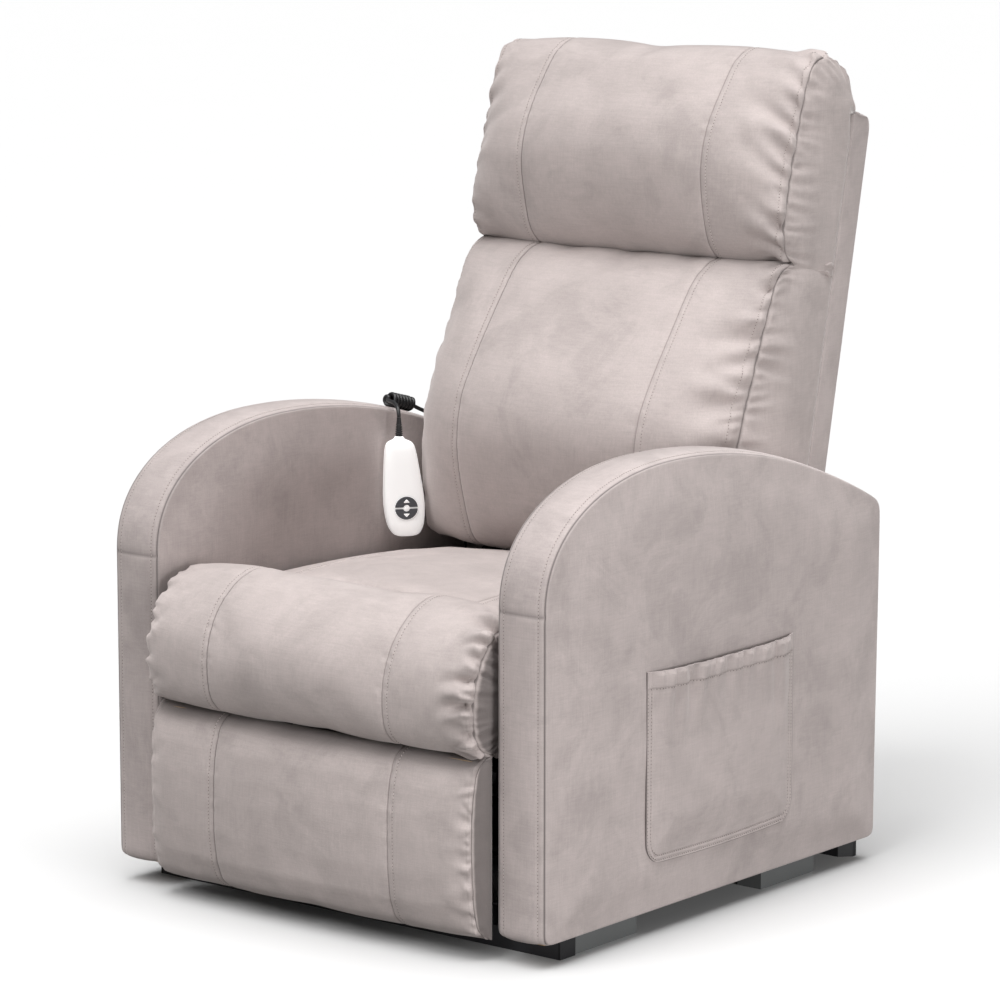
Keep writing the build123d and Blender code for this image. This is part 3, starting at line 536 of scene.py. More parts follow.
def suede(name, tone, seed, mottle):
    """Brushed microfibre: soft nap marks, a fine woven ground, a satin sheen, and painted shade that darkens the
    colour wherever a mesh's painted shade value is set, as in seam creases.
    """
    make = Shader(name)
    shift = make.nodes.new("ShaderNodeVectorMath")
    shift.inputs[1].default_value = (seed, seed * 0.7, seed * 1.3)
    make.links.new(make.place, shift.inputs[0])
    place = shift.outputs["Vector"]
    warp = make.noise(make.stretched(place, (520, 520, 34)), 1.0, 2.0, 0.6)
    weft = make.noise(make.stretched(place, (40, 40, 620)), 1.0, 2.0, 0.6)
    clouds = make.ramp(make.noise(place, 4.2, 3.0, 0.5, 0.25), (0.32, 0.0), (0.68, 1.0))
    strokes = make.ramp(make.noise(place, 24.0, 5.0, 0.62, 0.5), (0.34, 0.0), (0.66, 1.0))
    rubbed = make.ramp(make.noise(place, 8.0, 6.0, 0.66, 0.9), (0.50, 0.0), (0.57, 0.7), (0.66, 1.0))
    fibres = make.noise(place, 1500.0, 2.0, 0.6)
    grain = make.noise(place, 420.0, 3.0, 0.6)
    nap = make.maths("MULTIPLY", clouds, 0.34)
    for marks, share in ((strokes, 0.26), (rubbed, -0.26)):
        nap = make.maths("ADD", nap, make.maths("MULTIPLY", marks, share))
    nap = make.maths("ADD", nap, 0.33)
    spread = 0.17 * mottle
    dark = tuple(c * (1 - spread * 1.25) for c in tone)
    light = tuple(c * (1 + spread * 0.95) for c in tone)
    weave = make.maths("ADD", warp, weft)
    ground = make.ramp(make.maths("MULTIPLY", weave, 0.5), (0.3, 0.915), (0.7, 1.075))
    colour = make.mix(1.0, make.mix(nap, dark, light), ground, "MULTIPLY")
    colour = make.mix(1.0, colour, make.ramp(fibres, (0.3, 0.92), (0.7, 1.07)), "MULTIPLY")
    # Painted shade: each point's painted shade value blends the colour toward a dark tone. It stands in for shade
    # in seam creases, at gusset ends and under the bolster.
    painted_shade = make.nodes.new("ShaderNodeAttribute")
    painted_shade.attribute_name = "painted_shade"
    shade = make.maths("MULTIPLY", painted_shade.outputs["Fac"], 0.95, clamp=True)
    normal = make.bump(grain, 0.16, 0.0008)
    normal = make.bump(weave, 0.16, 0.0005, normal)
    return make.finish(
        Base_Color=make.mix(shade, colour, tuple(c * 0.22 for c in tone)),
        Roughness=make.maths("MULTIPLY_ADD", nap, -0.14, 0.82),
        Specular_IOR_Level=0.28,
        Specular_Tint=(1.0, 0.95, 0.93),
        Sheen_Weight=0.5,
        Sheen_Roughness=0.45,
        Sheen_Tint=(0.95, 0.90, 0.88),
        Normal=make.bump(fibres, 0.22, 0.0003, normal),
    )


def plain(name, colour, rough, metal=0.0, scale=60.0, vary=0.08, bump=0.12, coat=0.0, painted_glow=0.0):
    """Moulded, painted or metal finish: slight colour drift, uneven gloss, a fine surface texture and an optional
    painted glow, an emission that brightens the part as painted light.
    """
    make = Shader(name)
    drift = make.noise(make.place, scale * 0.25, 3.0)
    texture = make.noise(make.place, scale * 12, 3.0, 0.6)
    low, high = tuple(c * (1 - vary) for c in colour), tuple(min(1.0, c * (1 + vary)) for c in colour)
    return make.finish(
        Base_Color=make.mix(drift, low, high),
        Roughness=make.maths("MULTIPLY_ADD", texture, 0.14, rough - 0.07),
        Metallic=metal,
        Coat_Weight=coat,
        Emission_Color=colour,
        Emission_Strength=painted_glow,
        Normal=make.bump(texture, bump, 0.0004),
    )


def timber(name, light, dark):
    """Plain sawn wood with long rings and pores."""
    make = Shader(name)
    place = make.stretched(make.place, (6, 1.2, 9))
    rings = make.noise(place, 9.0, 6.0, 0.62, 1.5)
    pores = make.noise(place, 160.0, 2.0)
    colour = make.mix(rings, dark, light)
    return make.finish(Base_Color=colour, Roughness=0.72, Normal=make.bump(pores, 0.3, 0.0005))


FABRIC = suede("suede", (0.43, 0.376, 0.363), 0.0, 1.05)
PANEL = suede("suede_panel", (0.42, 0.366, 0.355), 3.1, 1.15)
THREAD = plain("thread", (0.50, 0.44, 0.42), 0.7, scale=300.0)
# Painted shade: the dark beads that stand in for the shadow inside needle holes.
HOLE_SHADE = plain("needle_hole_shade", (0.10, 0.085, 0.08), 0.9, scale=300.0)
LOOKS = {
    "upholstery": FABRIC,
    "wood": timber("timber", (0.60, 0.43, 0.26), (0.38, 0.25, 0.14)),
    "black_steel": plain("powder_coat", (0.045, 0.045, 0.05), 0.52, scale=90.0, bump=0.25),
    "link_steel": plain("painted_bar", (0.022, 0.022, 0.024), 0.42, scale=70.0),
    "bright_steel": plain("zinc", (0.62, 0.62, 0.64), 0.32, 1.0, scale=120.0, vary=0.12),
    "spring_steel": plain("spring_wire", (0.42, 0.41, 0.40), 0.38, 1.0, scale=150.0, vary=0.15),
    "black_plastic": plain("black_plastic", (0.018, 0.018, 0.02), 0.5, scale=140.0, bump=0.3),
    "foot_plastic": plain("foot_plastic", (0.13, 0.135, 0.135), 0.55, scale=120.0, bump=0.3),
    "nylon": plain("nylon", (0.80, 0.79, 0.74), 0.45, scale=80.0),
    # The handset case's glow is painted light: emission that brightens it toward white, though it is no lamp.
    "white_plastic": plain("white_plastic", (0.93, 0.93, 0.925), 0.32, scale=110.0, vary=0.01, bump=0.05,
                           coat=0.3, painted_glow=0.33),
    "grey_plastic": plain("grey_plastic", (0.085, 0.09, 0.10), 0.45, scale=110.0, bump=0.15),
    "cord_black": plain("cord_sheath", (0.014, 0.014, 0.015), 0.42, scale=160.0),
}


def dress_frame():
    """Gives every CAD node the finish of its material slot."""
    slots = {s["node"]: s["material_slot"] for s in frame["record"]["subparts"]}
    for name, obj in frame["nodes"].items():
        obj.data.materials.clear()
        obj.data.materials.append(LOOKS[slots[name]])


def finish_piece(obj, body, slot, *stands_for):
    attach(obj, body)
    if stands_for:
        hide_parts(*stands_for)
    return obj


# ---------------------------------------------------------------- cushions
def head_pillow():
    """Head cushion: deep and crowned in front, pinched in underneath, gathered along both gussets."""
    mids = [(352, 764), (300, 774), (262, 784), (241, 804), (230, 840), (221, 880), (218, 925), (232, 970),
            (268, 1018), (298, 1052), (336, 1069), (374, 1060), (400, 1036), (409, 1002), (408, 974)]
    sides = [(352, 766), (322, 774), (286, 780), (266, 794), (259, 822), (263, 850), (271, 880), (281, 920),
             (293, 962), (303, 1008), (321, 1049), (362, 1056), (400, 1036), (410, 1004), (408, 974)]
    rears = [rear_of(s) for s in sides]
    rears[-6:] = [(396, 978), (399, 984), (402, 984), (404, 982), (406, 978), (408, 974)]
    return Pillow("head_cushion_soft", (mids, sides, rears), FORWARD, gusset=64.0, pressure=2.4, cap=8.0,
                  folds=(11, (12.0, 3.6, 34.0, 0.4), (28.0, 13.0, 95.0, 0.45), (14.0, 3.8, 46.0, 0.3)),
                  hollows=(5, 22, 80.0, 1.2))


def lumbar_pillow():
    """Lumbar cushion: thick and full, with a rounded top tucked under the head cushion."""
    mids = [(284, 400), (190, 386), (134, 386), (113, 400), (95, 450), (82, 500), (75, 550), (80, 590),
            (100, 630), (128, 668), (160, 706), (194, 752), (224, 780), (258, 795), (304, 794), (350, 775)]
    sides = [(284, 400), (215, 386), (178, 386), (163, 400), (156, 450), (153, 500), (159, 548), (172, 590),
             (189, 628), (204, 666), (217, 704), (232, 742), (246, 774), (266, 791), (306, 796), (350, 777)]
    rears = [rear_of(s) for s in sides]
    return Pillow("lumbar_cushion_soft", (mids, sides, rears), FORWARD, gusset=90.0, pressure=2.2, cap=8.0,
                  folds=(111, (11.0, 3.6, 30.0, 0.4), (36.0, 9.0, 95.0, 0.45), (15.0, 4.0, 58.0, 0.35)),
                  hollows=(6, 26, 90.0, 1.4))


def seat_pillow():
    """Seat cushion: three crowned panels, sinking towards the back."""
    mids = [(-268, 300), (-268, 370), (-267, 410), (-258, 422), (-225, 427), (-170, 429), (-100, 429), (-30, 426),
            (30, 419), (80, 410), (120, 403), (146, 395), (150, 350), (150, 300)]
    sides = [(-268, 300), (-268, 345), (-267, 372), (-256, 384), (-225, 388), (-170, 389), (-100, 389), (-30, 388),
             (30, 386), (80, 384), (120, 381), (146, 372), (150, 340), (150, 300)]
    rears = [(s[0], 294.0) for s in sides]
    return Pillow("seat_cushion_soft", (mids, sides, rears), UPWARD, gusset=90.0, round_to=2.0, round_power=1.0,
                  pressure=1.6, growth=0.01, cap=5.0, hollows=(7, 30, 70.0, 2.0))


def bolster_pillow():
    """Front bolster: rolls over the seat's front edge and is tightly gathered at both ends."""
    mids = [(-266, 300), (-266, 370), (-267, 420), (-279, 433), (-313, 437), (-352, 423), (-388, 393), (-408, 359),
            (-414, 326), (-413, 293), (-405, 266), (-385, 251), (-345, 246), (-308, 256), (-288, 264), (-268, 296)]
    sides = [(-266, 300), (-266, 366), (-267, 400), (-279, 412), (-309, 414), (-340, 403), (-363, 379), (-378, 346),
             (-383, 318), (-381, 291), (-374, 268), (-358, 255), (-334, 250), (-306, 258), (-288, 266), (-268, 296)]
    rears = [(-268.0, 300.0 + (s[1] - 300.0) * 0.25) for s in sides]
    return Pillow("front_bolster_soft", (mids, sides, rears), FORWARD, 269.0, 143.0, face_half=267.0, gusset=60.0,
                  bulge=0.5, round_power=0.5,
                  folds=(211, (9.5, 6.2, 42.0, 0.5), (18.0, 11.5, 72.0, 0.55), (9.0, 2.4, 34.0, 0.3)),
                  # end_shade is painted shade on the gussets towards the ends.
                  hollows=(8, 22, 70.0, 1.4), end_shade=0.84, stitch_ends=False)


def pad_pillow():
    """Footrest pad: a calf pad with softly gathered sides."""
    mids = [(-349.9, 244), (-349.9, 252), (-356, 256), (-372, 254), (-387, 240), (-396, 212), (-400, 180),
            (-401, 148), (-400, 104), (-396, 66), (-386, 38), (-370, 24), (-357, 21), (-349.9, 25), (-349.9, 34)]
    sides = [(-349.9, 244), (-349.9, 252), (-355, 255), (-365, 253), (-375, 238), (-380, 208), (-383, 178),
             (-384, 146), (-383, 106), (-380, 72), (-374, 44), (-364, 29), (-355, 26), (-349.9, 28), (-349.9, 34)]
    rears = [(-349.9, s[1]) for s in sides]
    return Pillow("footrest_pad_soft", (mids, sides, rears), FORWARD, 268.5, 142.0, face_half=266.5, gusset=26.0,
                  sigma=4.0, bulge=0.5, round_power=0.5,
                  folds=(311, (10.0, 3.6, 30.0, 0.45), (24.0, 5.0, 56.0, 0.45), (10.0, 0.8, 20.0, 0.2)),
                  # end_shade and top_shade are painted shade: darker gusset ends and a painted shadow under the
                  # bolster.
                  hollows=(9, 20, 70.0, 1.0), end_shade=0.84, top_shade=0.7, stitch_ends=False)


def shell_pillow():
    """Upholstered back shell, seen from behind: one tall panel with boxed sides."""
    mids, sides, rears = [], [], []
    for along, depth in ((6, 44), (6, 20), (8, 0), (28, -9), (120, -13), (340, -15), (560, -14), (668, -12),
                         (685, -5), (688, 22), (686, 45)):
        mids.append(on_back(along, depth))
        sides.append(on_back(min(max(along, 8), 684), max(depth, -11)))
        rears.append(on_back(min(max(along, 13), 683), 45))
    return Pillow("back_shell_soft", (mids, sides, rears), BACKWARD, seam=None, face_half=264.0, gusset=44.0,
                  sigma=3.0, pressure=1.6, growth=0.01, cap=4.0, bulge=2.0, round_to=6.0, step=12.0,
                  hollows=(10, 26, 90.0, 1.0))


def apron_pillow():
    """Fabric apron closing the chassis below the back."""
    mids = [(330.6, 60), (333, 58), (337.5, 64), (338.5, 120), (339, 190), (338.5, 250), (337, 303), (333, 309),
            (330.6, 307)]
    sides = [(330.6, 60), (332, 59), (335, 64), (335.5, 120), (335.5, 190), (335.5, 250), (335, 303), (332, 308),
             (330.6, 307)]
    rears = [(330.6, s[1]) for s in sides]
    return Pillow("rear_apron_soft", (mids, sides, rears), BACKWARD, 276.5, None, face_half=275.0, gusset=6.0,
                  sigma=2.0, pressure=1.0, growth=0.01, cap=2.5, bulge=0.0, round_to=8.0, step=10.0,
                  hollows=(12, 18, 70.0, 0.8))


def build_cushions():
    """Fills the cushions with cloth pressure and sews them. Gives the body of each one's thread."""
    plan = (
        (head_pillow(), "back", "head_cushion", FABRIC, "head_stitching"),
        (lumbar_pillow(), "back", "lumbar_cushion", FABRIC, "lumbar_stitching"),
        (seat_pillow(), "carriage", "seat_cushion", FABRIC, "seat_stitching"),
        (bolster_pillow(), "carriage", "front_bolster", FABRIC, "bolster_stitching", 2.2),
        (pad_pillow(), "footrest", "footrest_pad", FABRIC, "footrest_stitching", 2.8),
        (shell_pillow(), "back", "back_shell", PANEL, None, 5.0, 1.2),
        (apron_pillow(), "chassis", "rear_apron", PANEL, None, 5.0, 1.2),
    )
    run_cloth([row[0].job for row in plan])
    for pillow, body, node, *finish in plan:
        finish_piece(pillow.build(*finish), body, "upholstery", node)
    return {row[4]: row[1] for row in plan}


# ---------------------------------------------------------------- arms
ARM_INNER, ARM_OUTER = 277.5, 350.0
ARM_HALF, ARM_BOTTOM, ARM_SPRING = 350.0, 31.0, 435.0
ARM_PEAK_Y, ARM_PEAK_Z, ARM_REAR_Z = -88.0, 591.0, 480.0
ARM_MIDDLE = np.array([0.0, 285.0])
POCKET_LOW_Y, POCKET_HIGH_Y, POCKET_LOW_Z, POCKET_HIGH_Z = -162.0, 147.0, 96.0, 338.0
POCKET_ROUND, POCKET_HEM, POCKET_PROUD = 28.0, 22.0, 9.8
POCKET_ROWS = (3.0, 9.0)
ARM_ROUND = 2 / 2.2
ARM_SEAM_IN = 0.2
ARM_PANEL_RINGS = (1.0, 0.86, 0.72, 0.6, 0.5, 0.41, 0.33, 0.26, 0.2, 0.15, 0.11, 0.08, 0.057, 0.04, 0.028, 0.019,
                   0.012, 0.007, 0.0032)


def arm_path(step=3.6):
    """The arm's side outline as (y, z), clockwise from the middle of its bottom edge, with inward normals."""
    pts = [(0.0, ARM_BOTTOM), (-ARM_HALF + 6, ARM_BOTTOM), (-ARM_HALF + 1.5, ARM_BOTTOM + 1.5),
           (-ARM_HALF, ARM_BOTTOM + 6), (-ARM_HALF, ARM_SPRING - 40), (-ARM_HALF, ARM_SPRING)]
    for t in np.linspace(0, math.pi / 2, 60, endpoint=False)[1:]:
        pts.append((ARM_PEAK_Y - (ARM_HALF + ARM_PEAK_Y) * math.cos(t) ** ARM_ROUND,
                    ARM_SPRING + (ARM_PEAK_Z - ARM_SPRING) * math.sin(t) ** ARM_ROUND))
    for u in np.linspace(0, 1, 60, endpoint=False):
        pts.append((ARM_PEAK_Y + (ARM_HALF - 2 - ARM_PEAK_Y) * u,
                    ARM_PEAK_Z - (ARM_PEAK_Z - ARM_REAR_Z) * u**2))
    pts += [(ARM_HALF - 6, ARM_REAR_Z + 1), (ARM_HALF - 1, ARM_REAR_Z - 5), (ARM_HALF, ARM_REAR_Z - 12),
            (ARM_HALF, ARM_BOTTOM + 6), (ARM_HALF - 1.5, ARM_BOTTOM + 1.5), (ARM_HALF - 6, ARM_BOTTOM),
            (0.0, ARM_BOTTOM)]
    pts = np.array(pts)
    length = path_length(pts)
    path = along_path(np.linspace(0, length[-1], int(length[-1] / step)), length, pts)[:-1]
    lean = 5.0 * smoothstep((path[:, 1] - ARM_BOTTOM) / (ARM_REAR_Z - ARM_BOTTOM))
    path[:, 0] += lean * smoothstep((path[:, 0] - 200.0) / 150.0)
    for _ in range(6):
        path = (np.roll(path, 1, 0) + 2 * path + np.roll(path, -1, 0)) / 4
    tangent = unit(np.roll(path, -1, 0) - np.roll(path, 1, 0))
    inward = np.stack([tangent[:, 1], -tangent[:, 0]], 1)
    quarter = len(path) // 4
    return path, inward if inward[quarter] @ (ARM_MIDDLE - path[quarter]) > 0 else -inward


def arm(side, name):
    """One upholstered arm: two flat panels and a padded strip sewn between them, wrapped over the top."""
    path, inward = arm_path()
    middle_x, half = (ARM_INNER + ARM_OUTER) / 2, (ARM_OUTER - ARM_INNER) / 2
    run = path_length(np.vstack([path, path[:1]]))[:-1]
    front = (path[:, 0] < -ARM_HALF + 30) & (path[:, 1] > ARM_BOTTOM + 20)
    past_joint = run - run[front][np.argmin(np.abs(path[front, 1] - ARM_SPRING))]
    joint = -0.8 * bell(past_joint / 1.6) - 0.5 * bell(past_joint / 6.0)
    above = path[:, 1] > ARM_BOTTOM + 3
    wave = dents(path[:, 0], path[:, 1], 40 + side, 24, 70.0, 0.9)
    rings, painted_shades = [], []

    def panel(sign, order):
        """Rings of one flat panel, from its centre out or from its seam in."""
        flat = path + inward * ARM_SEAM_IN
        for f in order:
            pos = flat + (ARM_MIDDLE - flat) * f
            reach = np.linalg.norm(ARM_MIDDLE - flat, axis=1) * f
            puff = 7.0 * smoothstep(reach / 80.0) - 1.1 * bell(reach / 1.5) - 0.5 * bell(reach / 8.0)
            ripple = dents(pos[:, 0], pos[:, 1], 50 + side + int(sign * 3), 26, 110.0, 1.1)
            x = middle_x + sign * (half + 0.8 + puff + ripple * smoothstep(reach / 60.0))
            rings.append(np.column_stack([x, pos]))
            # Painted shade in the crease of the panel's seam.
            painted_shades.append(bell(reach / 0.9))

    panel(1, ARM_PANEL_RINGS)
    seam_x = half - 2.2
    thread_x = seam_x - STITCH_OFFSET
    xs = spaced(-seam_x, seam_x, 4.2, (-seam_x, -thread_x, thread_x, seam_x), 0.9, 4.0)[::-1]
    for x in xs:
        u = abs(x) / seam_x
        d = seam_x - abs(x)
        rise = 4.4 * (1 - u**2.6) - 1.1 * bell(d / 1.1) - 0.5 * bell((d - STITCH_OFFSET) / 1.6)
        lift = rise + joint + wave * 0.6 * (1 - u**4)
        lift = np.where(above, lift, np.minimum(lift, 0.6) - 0.4)
        at = path + inward * (ARM_SEAM_IN - lift)[:, None]
        rings.append(np.column_stack([np.full(len(path), middle_x + x), at]))
        # Painted shade in the creases of the strip's seams and at the front joint.
        painted_shades.append(np.maximum(bell(d / 0.8), 0.45 * bell(past_joint / 1.3)))
    panel(-1, ARM_PANEL_RINGS[::-1])
    grid = np.array(rings)
    grid[..., 0] *= side
    faces = grid_faces(*grid.shape[:2], side > 0, wrap=True)
    obj = seal(make_mesh(name, grid.reshape(-1, 3), faces, PANEL, np.array(painted_shades)))
    outward = np.column_stack([np.zeros(len(path)), -inward])
    sewn = (path[:, 1] > ARM_BOTTOM + 8) & ~((path[:, 0] > ARM_HALF - 4) & (path[:, 1] < ARM_BOTTOM + 10))
    for x in (-thread_x, thread_x):
        k = len(ARM_PANEL_RINGS) + int(np.argmin(np.abs(xs - x)))
        stitch(f"{name}_stitching", grid[k][sewn], outward[sewn])
    return obj


def pocket():
    """Side pocket: a stitched-on panel with an elastic hem that gathers its top edge."""
    wide, tall = POCKET_HIGH_Y - POCKET_LOW_Y, POCKET_HIGH_Z - POCKET_LOW_Z
    middle = (POCKET_LOW_Y + POCKET_HIGH_Y) / 2
    u = spaced(0, 1, 1 / 110, (0, 0.03, 0.97, 1), 1 / 420, 0.02)
    v = spaced(0, 1, 1 / 84, (0, 0.035, 0.905, 0.99), 1 / 300, 0.02)
    uu, vv = np.meshgrid(u, v)
    h = vv * tall
    corner = POCKET_ROUND - np.sqrt(np.maximum(POCKET_ROUND**2 - (POCKET_ROUND - h) ** 2, 0))
    inset = np.where(h < POCKET_ROUND, corner, 0.0)

    def sag(at_y, up):
        """How far the panel hangs below its drawn outline."""
        return 4.0 * (1 - ((at_y - middle) / (wide / 2)) ** 2) * (1 - up) ** 2

    y = POCKET_LOW_Y + inset + (wide - 2 * inset) * uu
    z = POCKET_LOW_Z + h - sag(y, vv) - 2.6 * (1 - (2 * uu - 1) ** 2) * smoothstep((vv - 0.6) / 0.4)
    edge = np.minimum(np.minimum((y - POCKET_LOW_Y - inset), (POCKET_HIGH_Y - inset - y)), h + 0.01)
    top = (1 - vv) * tall
    bulge = 5.5 * smoothstep(edge / 60.0) + 2.5 * smoothstep(1 - top / 90.0) * smoothstep(edge / 25.0)
    for row in POCKET_ROWS:
        bulge -= 0.9 * bell((edge - row) / 1.2)
    folds = gathers(y, top, 71, 10.0, 4.4, 60.0, 0.06) + gathers(y, top, 72, 27.0, 5.0, 190.0, 0.1)
    bulge += folds * smoothstep((edge - 6) / 12.0)
    hem = 1.2 * smoothstep(1 - (top - POCKET_HEM) / 3.0) - 1.2 * bell((top - POCKET_HEM) / 1.5)
    bulge += hem * smoothstep(edge / 8.0)
    x = ARM_OUTER + POCKET_PROUD + np.maximum(bulge, -0.8)
    front = np.stack([x, y, z], -1)
    back = np.stack([np.maximum(x - 1.6, ARM_OUTER + POCKET_PROUD - 2.0), y, z], -1)
    rows, cols = front.shape[:2]
    size = rows * cols
    quads = grid_faces(rows, cols)
    faces = quads.tolist() + (quads[:, ::-1] + size).tolist()
    rim = rim_loop(rows, cols)
    faces += [(q, p, p + size, q + size) for p, q in zip(rim, rim[1:] + rim[:1])]
    # Painted shade along the pocket's sewn rim and, fainter, at the hem line.
    painted_shade = np.maximum(bell((top - POCKET_HEM) / 1.0) * 0.25, bell(edge / 0.8) * 0.8)
    verts = np.concatenate([front.reshape(-1, 3), back.reshape(-1, 3)])
    obj = make_mesh("side_pocket_soft", verts, faces, PANEL, np.tile(painted_shade.ravel(), 2))
    hem_row = int(np.argmin(np.abs(v - (1 - POCKET_HEM / tall))))
    stitch("pocket_stitching", front[hem_row, 4:-4], grid_normals(front, SIDEWAYS)[hem_row, 4:-4])
    corner_z = POCKET_LOW_Z + POCKET_ROUND
    corners = ((POCKET_LOW_Y + POCKET_ROUND, math.pi), (POCKET_HIGH_Y - POCKET_ROUND, 1.5 * math.pi))
    for row in POCKET_ROWS:
        radius = POCKET_ROUND - row
        line = [(POCKET_LOW_Y + row, POCKET_HIGH_Z - 24.0)]
        for corner_y, start in corners:
            turns = np.linspace(0, math.pi / 2, 13) + start
            line += [(corner_y + radius * math.cos(t), corner_z + radius * math.sin(t)) for t in turns]
        line = np.array(line + [(POCKET_HIGH_Y - row, POCKET_HIGH_Z - 24.0)])
        length = path_length(line)
        line = along_path(np.linspace(0, length[-1], 500), length, line)
        line[:, 1] -= sag(line[:, 0], (line[:, 1] - POCKET_LOW_Z) / tall)
        near = [int(np.argmin((y - at_y) ** 2 + (z - at_z) ** 2)) for at_y, at_z in line]
        line = np.column_stack([x.ravel()[near] + 0.1, line])
        stitch("pocket_stitching", line, np.tile(SIDEWAYS, (len(line), 1)))
    return obj


# ---------------------------------------------------------------- cord and handset
HANDSET_TURN = math.radians(55.0)
HANDSET_OUT = np.array([math.sin(HANDSET_TURN), -math.cos(HANDSET_TURN), 0.0])
HANDSET_ACROSS = np.array([math.cos(HANDSET_TURN), math.sin(HANDSET_TURN), 0.0])
HANDSET_CENTRE = np.array([-246.0, 99.0, 466.0])
HANDSET_LEAN = 0.07
BUTTONS_DOWN = 26.0
NECK_TOP = (-249.9, 93.5, 536.0)
CORD_RADIUS, COIL_RADIUS, COIL_TURNS = 2.7, 8.0, 7.5


def tube(name, points, radius, material, sides=10):
    """A round tube along a path of millimetre points."""
    tangent = unit(np.gradient(points, axis=0))
    across = np.cross(tangent[0], SIDEWAYS)
    turns = [2 * math.pi * j / sides for j in range(sides)]
    rings = []
    for point, ahead in zip(points, tangent):
        across = unit(across - ahead * (across @ ahead))
        second = np.cross(ahead, across)
        rings.append([point + radius * (across * math.cos(t) + second * math.sin(t)) for t in turns])
    return loft(name, rings, material)


def cords():
    """The handset's cord: up from the handset, over the arm, coiled along its top and down behind."""
    lead = smooth_path([(-249.9, 93.5, 562.2), (-250.5, 94, 568), (-256, 98, 574.0), (-268, 106, 578.0),
                        (-284, 116, 577.5), (-297, 126, 576.5), (-304, 134, 576.0)], 90, 5.0)
    start, end = np.array([-306.0, 137.0, 576.0]), np.array([-306.0, 185.0, 563.5])
    up = np.cross(SIDEWAYS, unit(end - start))
    t = np.linspace(0, 1, 420)[:, None]
    angle = t * COIL_TURNS * 2 * math.pi + 0.6
    spread = COIL_RADIUS * smoothstep(np.minimum(t, 1 - t) / 0.06)
    helix = start + t * (end - start) + spread * (np.cos(angle) * SIDEWAYS + np.sin(angle) * up)
    tail = smooth_path([end, (-304, 195, 556.5), (-297, 205, 551.5), (-286, 215, 547.0), (-275, 226, 539.0),
                        (-271.8, 246, 520.0), (-271.8, 252, 470.0), (-271.8, 258, 380.0), (-271.8, 262, 300.0)],
                       120, 5.0)
    whole = np.concatenate([lead, helix, tail])
    keep = [0]
    for k in range(1, len(whole)):
        if np.linalg.norm(whole[k] - whole[keep[-1]]) > 0.9:
            keep.append(k)
    obj = tube("coiled_cord_soft", whole[keep], CORD_RADIUS, LOOKS["cord_black"])
    finish_piece(obj, "chassis", "cord_black", "coiled_cord", "handset_cord")


def handset_shells():
    """The handset's white case: a smooth tapered body with a fine parting line and a small neck."""
    heights = [-66, -65.4, -63.5, -61, -55, -49.6, -38, -22, -8, 17, 40, 52, 58, 62, 64, 65.4, 67, 70, 70.6]
    widths = [5, 11, 16.5, 19.3, 22.8, 24.8, 26.9, 28, 27.5, 25.2, 22.6, 20.8, 19.2, 16.6, 13, 9.2, 6.6, 5.8, 3.5]
    depths = [3, 6, 8.4, 9.6, 11, 11.6, 11.6, 11.6, 11.6, 11.6, 11.5, 11.2, 10.6, 9.6, 8.6, 7.4, 6.2, 5.6, 3.4]
    at = spaced(-66, 70.6, 1.6, (-66, -62, 64, 70.6), 0.4, 3.0)
    dense = smooth_path(np.column_stack([heights, widths, depths]), 500, 4.0)
    turns = np.linspace(0, 2 * math.pi, 96, endpoint=False)
    cos, sin = np.cos(turns), np.sin(turns)
    x = np.sign(cos) * np.abs(cos) ** 0.72
    d = np.sign(sin) * np.abs(sin) ** 0.55
    parting = 1 - 0.03 * bell(sin / 0.035)
    rings = []
    for h, wide, deep in zip(at, *along_path(at, dense[:, 0], dense[:, 1:]).T):
        middle = HANDSET_CENTRE - HANDSET_ACROSS * HANDSET_LEAN * (h + BUTTONS_DOWN) + np.array([0, 0, h])
        rings.append([middle + HANDSET_ACROSS * (wide * p * k) + HANDSET_OUT * (deep * q * k)
                      for p, q, k in zip(x, d, parting)])
    obj = loft("handset_case", rings, LOOKS["white_plastic"])
    finish_piece(obj, "handset", "white_plastic", "handset_front", "handset_rear")


def ribbed_relief():
    """Ribbed rubber sleeve that carries the cord out of the handset's neck."""
    heights = np.linspace(0, 26.0, 150)
    ribs = np.sign(np.sin(heights * 2.1)) * (heights > 2) * (heights < 16)
    radius = 4.9 - 2.2 * (heights / 26.0) + 0.6 * ribs
    radius[0] = radius[-1] = 1.0
    radius = gauss_smooth(radius[:, None], 0.8)[:, 0]
    turns = np.linspace(0, 2 * math.pi, 20, endpoint=False)
    x, y, z = NECK_TOP
    rings = [[(x + r * math.cos(t), y + r * math.sin(t), z + h) for t in turns]
             for h, r in zip(heights, radius)]
    finish_piece(loft("relief_sleeve", rings, LOOKS["cord_black"]), "handset", "cord_black", "strain_relief")


def handset_marks():
    """Raised arrow marks on the two buttons and the round centre mark between them."""
    centre = HANDSET_CENTRE - np.array([0.0, 0.0, BUTTONS_DOWN])

    def raised(name, outline, depth, height, body):
        outline = np.asarray(outline, float)
        inner = outline * 0.86 + outline.mean(0) * 0.14
        layers = [(outline, depth - 0.2), (outline, depth + height * 0.6), (inner, depth + height)]
        rings = [[centre + HANDSET_ACROSS * p[0] + HANDSET_OUT * d + (0, 0, p[1]) for p in loop]
                 for loop, d in layers]
        finish_piece(loft(name, rings, LOOKS["white_plastic"]), body, "white_plastic")

    tri = np.array([(-4.6, 7.4), (4.6, 7.4), (0.0, 12.4)])
    arrow = [tri[k] + (tri[j] - tri[k]) * 0.12 for k in range(3) for j in (k - 1, (k + 1) % 3)]
    raised("up_arrow", arrow, 13.15, 0.35, "up_button")
    raised("down_arrow", (np.array(arrow) * [1, -1])[::-1], 13.15, 0.35, "down_button")
    disc = [(5.2 * math.cos(t), 5.2 * math.sin(t)) for t in np.linspace(0, 2 * math.pi, 28, endpoint=False)]
    raised("centre_mark", disc, 11.3, 1.5, "handset")


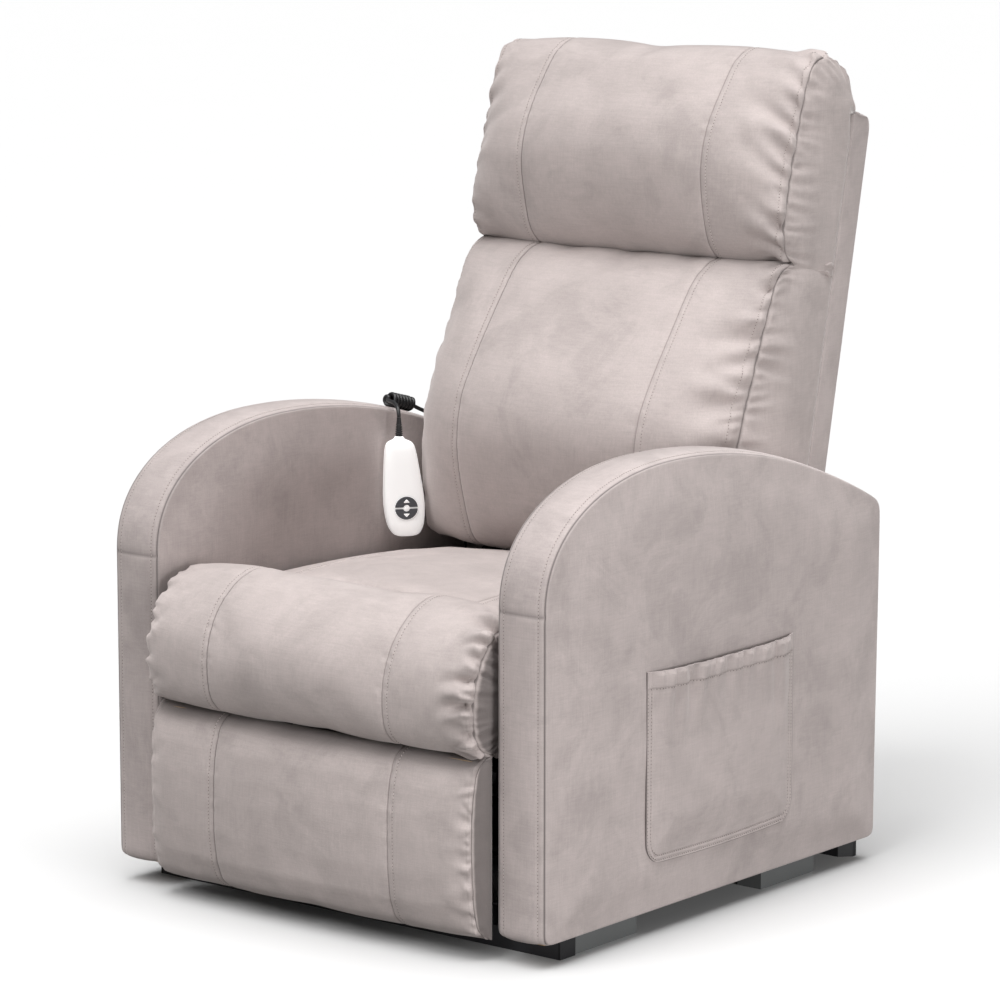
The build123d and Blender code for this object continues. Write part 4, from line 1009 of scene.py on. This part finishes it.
# ---------------------------------------------------------------- stage, light, camera
def stage():
    """A pale floor that fills the view; it gives little bounce so that undersides stay dark."""
    size = 60.0
    mesh = bpy.data.meshes.new("floor")
    corners = [(-size, -size, 0), (size, -size, 0), (size, size, 0), (-size, size, 0)]
    mesh.from_pydata(corners, [], [(0, 1, 2, 3)])
    make = Shader("floor")
    seen = make.mix(make.noise(make.place, 2.0, 2.0), (0.645, 0.645, 0.645), (0.65, 0.65, 0.65))
    path = make.nodes.new("ShaderNodeLightPath")
    colour = make.mix(path.outputs["Is Camera Ray"], (0.24, 0.235, 0.23), seen)
    mesh.materials.append(make.finish(Base_Color=colour, Roughness=0.8, Specular_IOR_Level=0.1))
    link("floor", mesh)


def aimed(obj, way):
    """Turns a lamp or the camera to look along a direction."""
    obj.rotation_euler = Vector(way).to_track_quat("-Z", "Y").to_euler()
    return obj


def light_and_camera():
    scene = bpy.context.scene
    scene.world = bpy.data.worlds.new("studio")
    scene.world.use_nodes = True
    sky = scene.world.node_tree.nodes["Background"].inputs
    sky["Color"].default_value = (1.0, 1.0, 1.0, 1)
    sky["Strength"].default_value = 0.17
    for name, energy, angle, way in (("overhead", 3.15, 52, (-0.06, 0.06, -1.0)),
                                     ("front", 1.75, 38, (0.12, 0.85, -1.0))):
        sun = bpy.data.lights.new(name, "SUN")
        sun.energy = energy
        sun.angle = math.radians(angle)
        aimed(link(name, sun), way)
    fill = bpy.data.lights.new("fill", "AREA")
    fill.shape = "DISK"
    fill.size = 1.1
    fill.energy = 64
    place = Vector((3.5, -0.9, 0.65))
    lamp = aimed(link("fill", fill), Vector((0, 0, 0.4)) - place)
    lamp.location = place
    azimuth, elevation, distance = math.radians(38.84), math.radians(9.92), 5.6446
    away = Vector((math.sin(azimuth) * math.cos(elevation), -math.cos(azimuth) * math.cos(elevation),
                   math.sin(elevation)))
    data = bpy.data.cameras.new("camera")
    data.lens = 157.04
    data.sensor_width = 36.0
    scene.camera = aimed(link("camera", data), -away)
    scene.camera.location = Vector((-0.013, 0.015, 0.486)) + away * distance
    scene.view_settings.view_transform = "Standard"
    scene.view_settings.look = "None"
    scene.view_settings.exposure = 0.0


dress_frame()
thread_bodies = build_cushions()
finish_piece(arm(1, "arm_left_soft"), "chassis", "upholstery", "arm_cover_left")
finish_piece(arm(-1, "arm_right_soft"), "chassis", "upholstery", "arm_cover_right")
finish_piece(pocket(), "chassis", "upholstery", "side_pocket")
cords()
handset_shells()
ribbed_relief()
handset_marks()
for group, obj in stitch_objects((THREAD, HOLE_SHADE)).items():
    finish_piece(obj, thread_bodies.get(group, "chassis"), "upholstery")
stage()
light_and_camera()
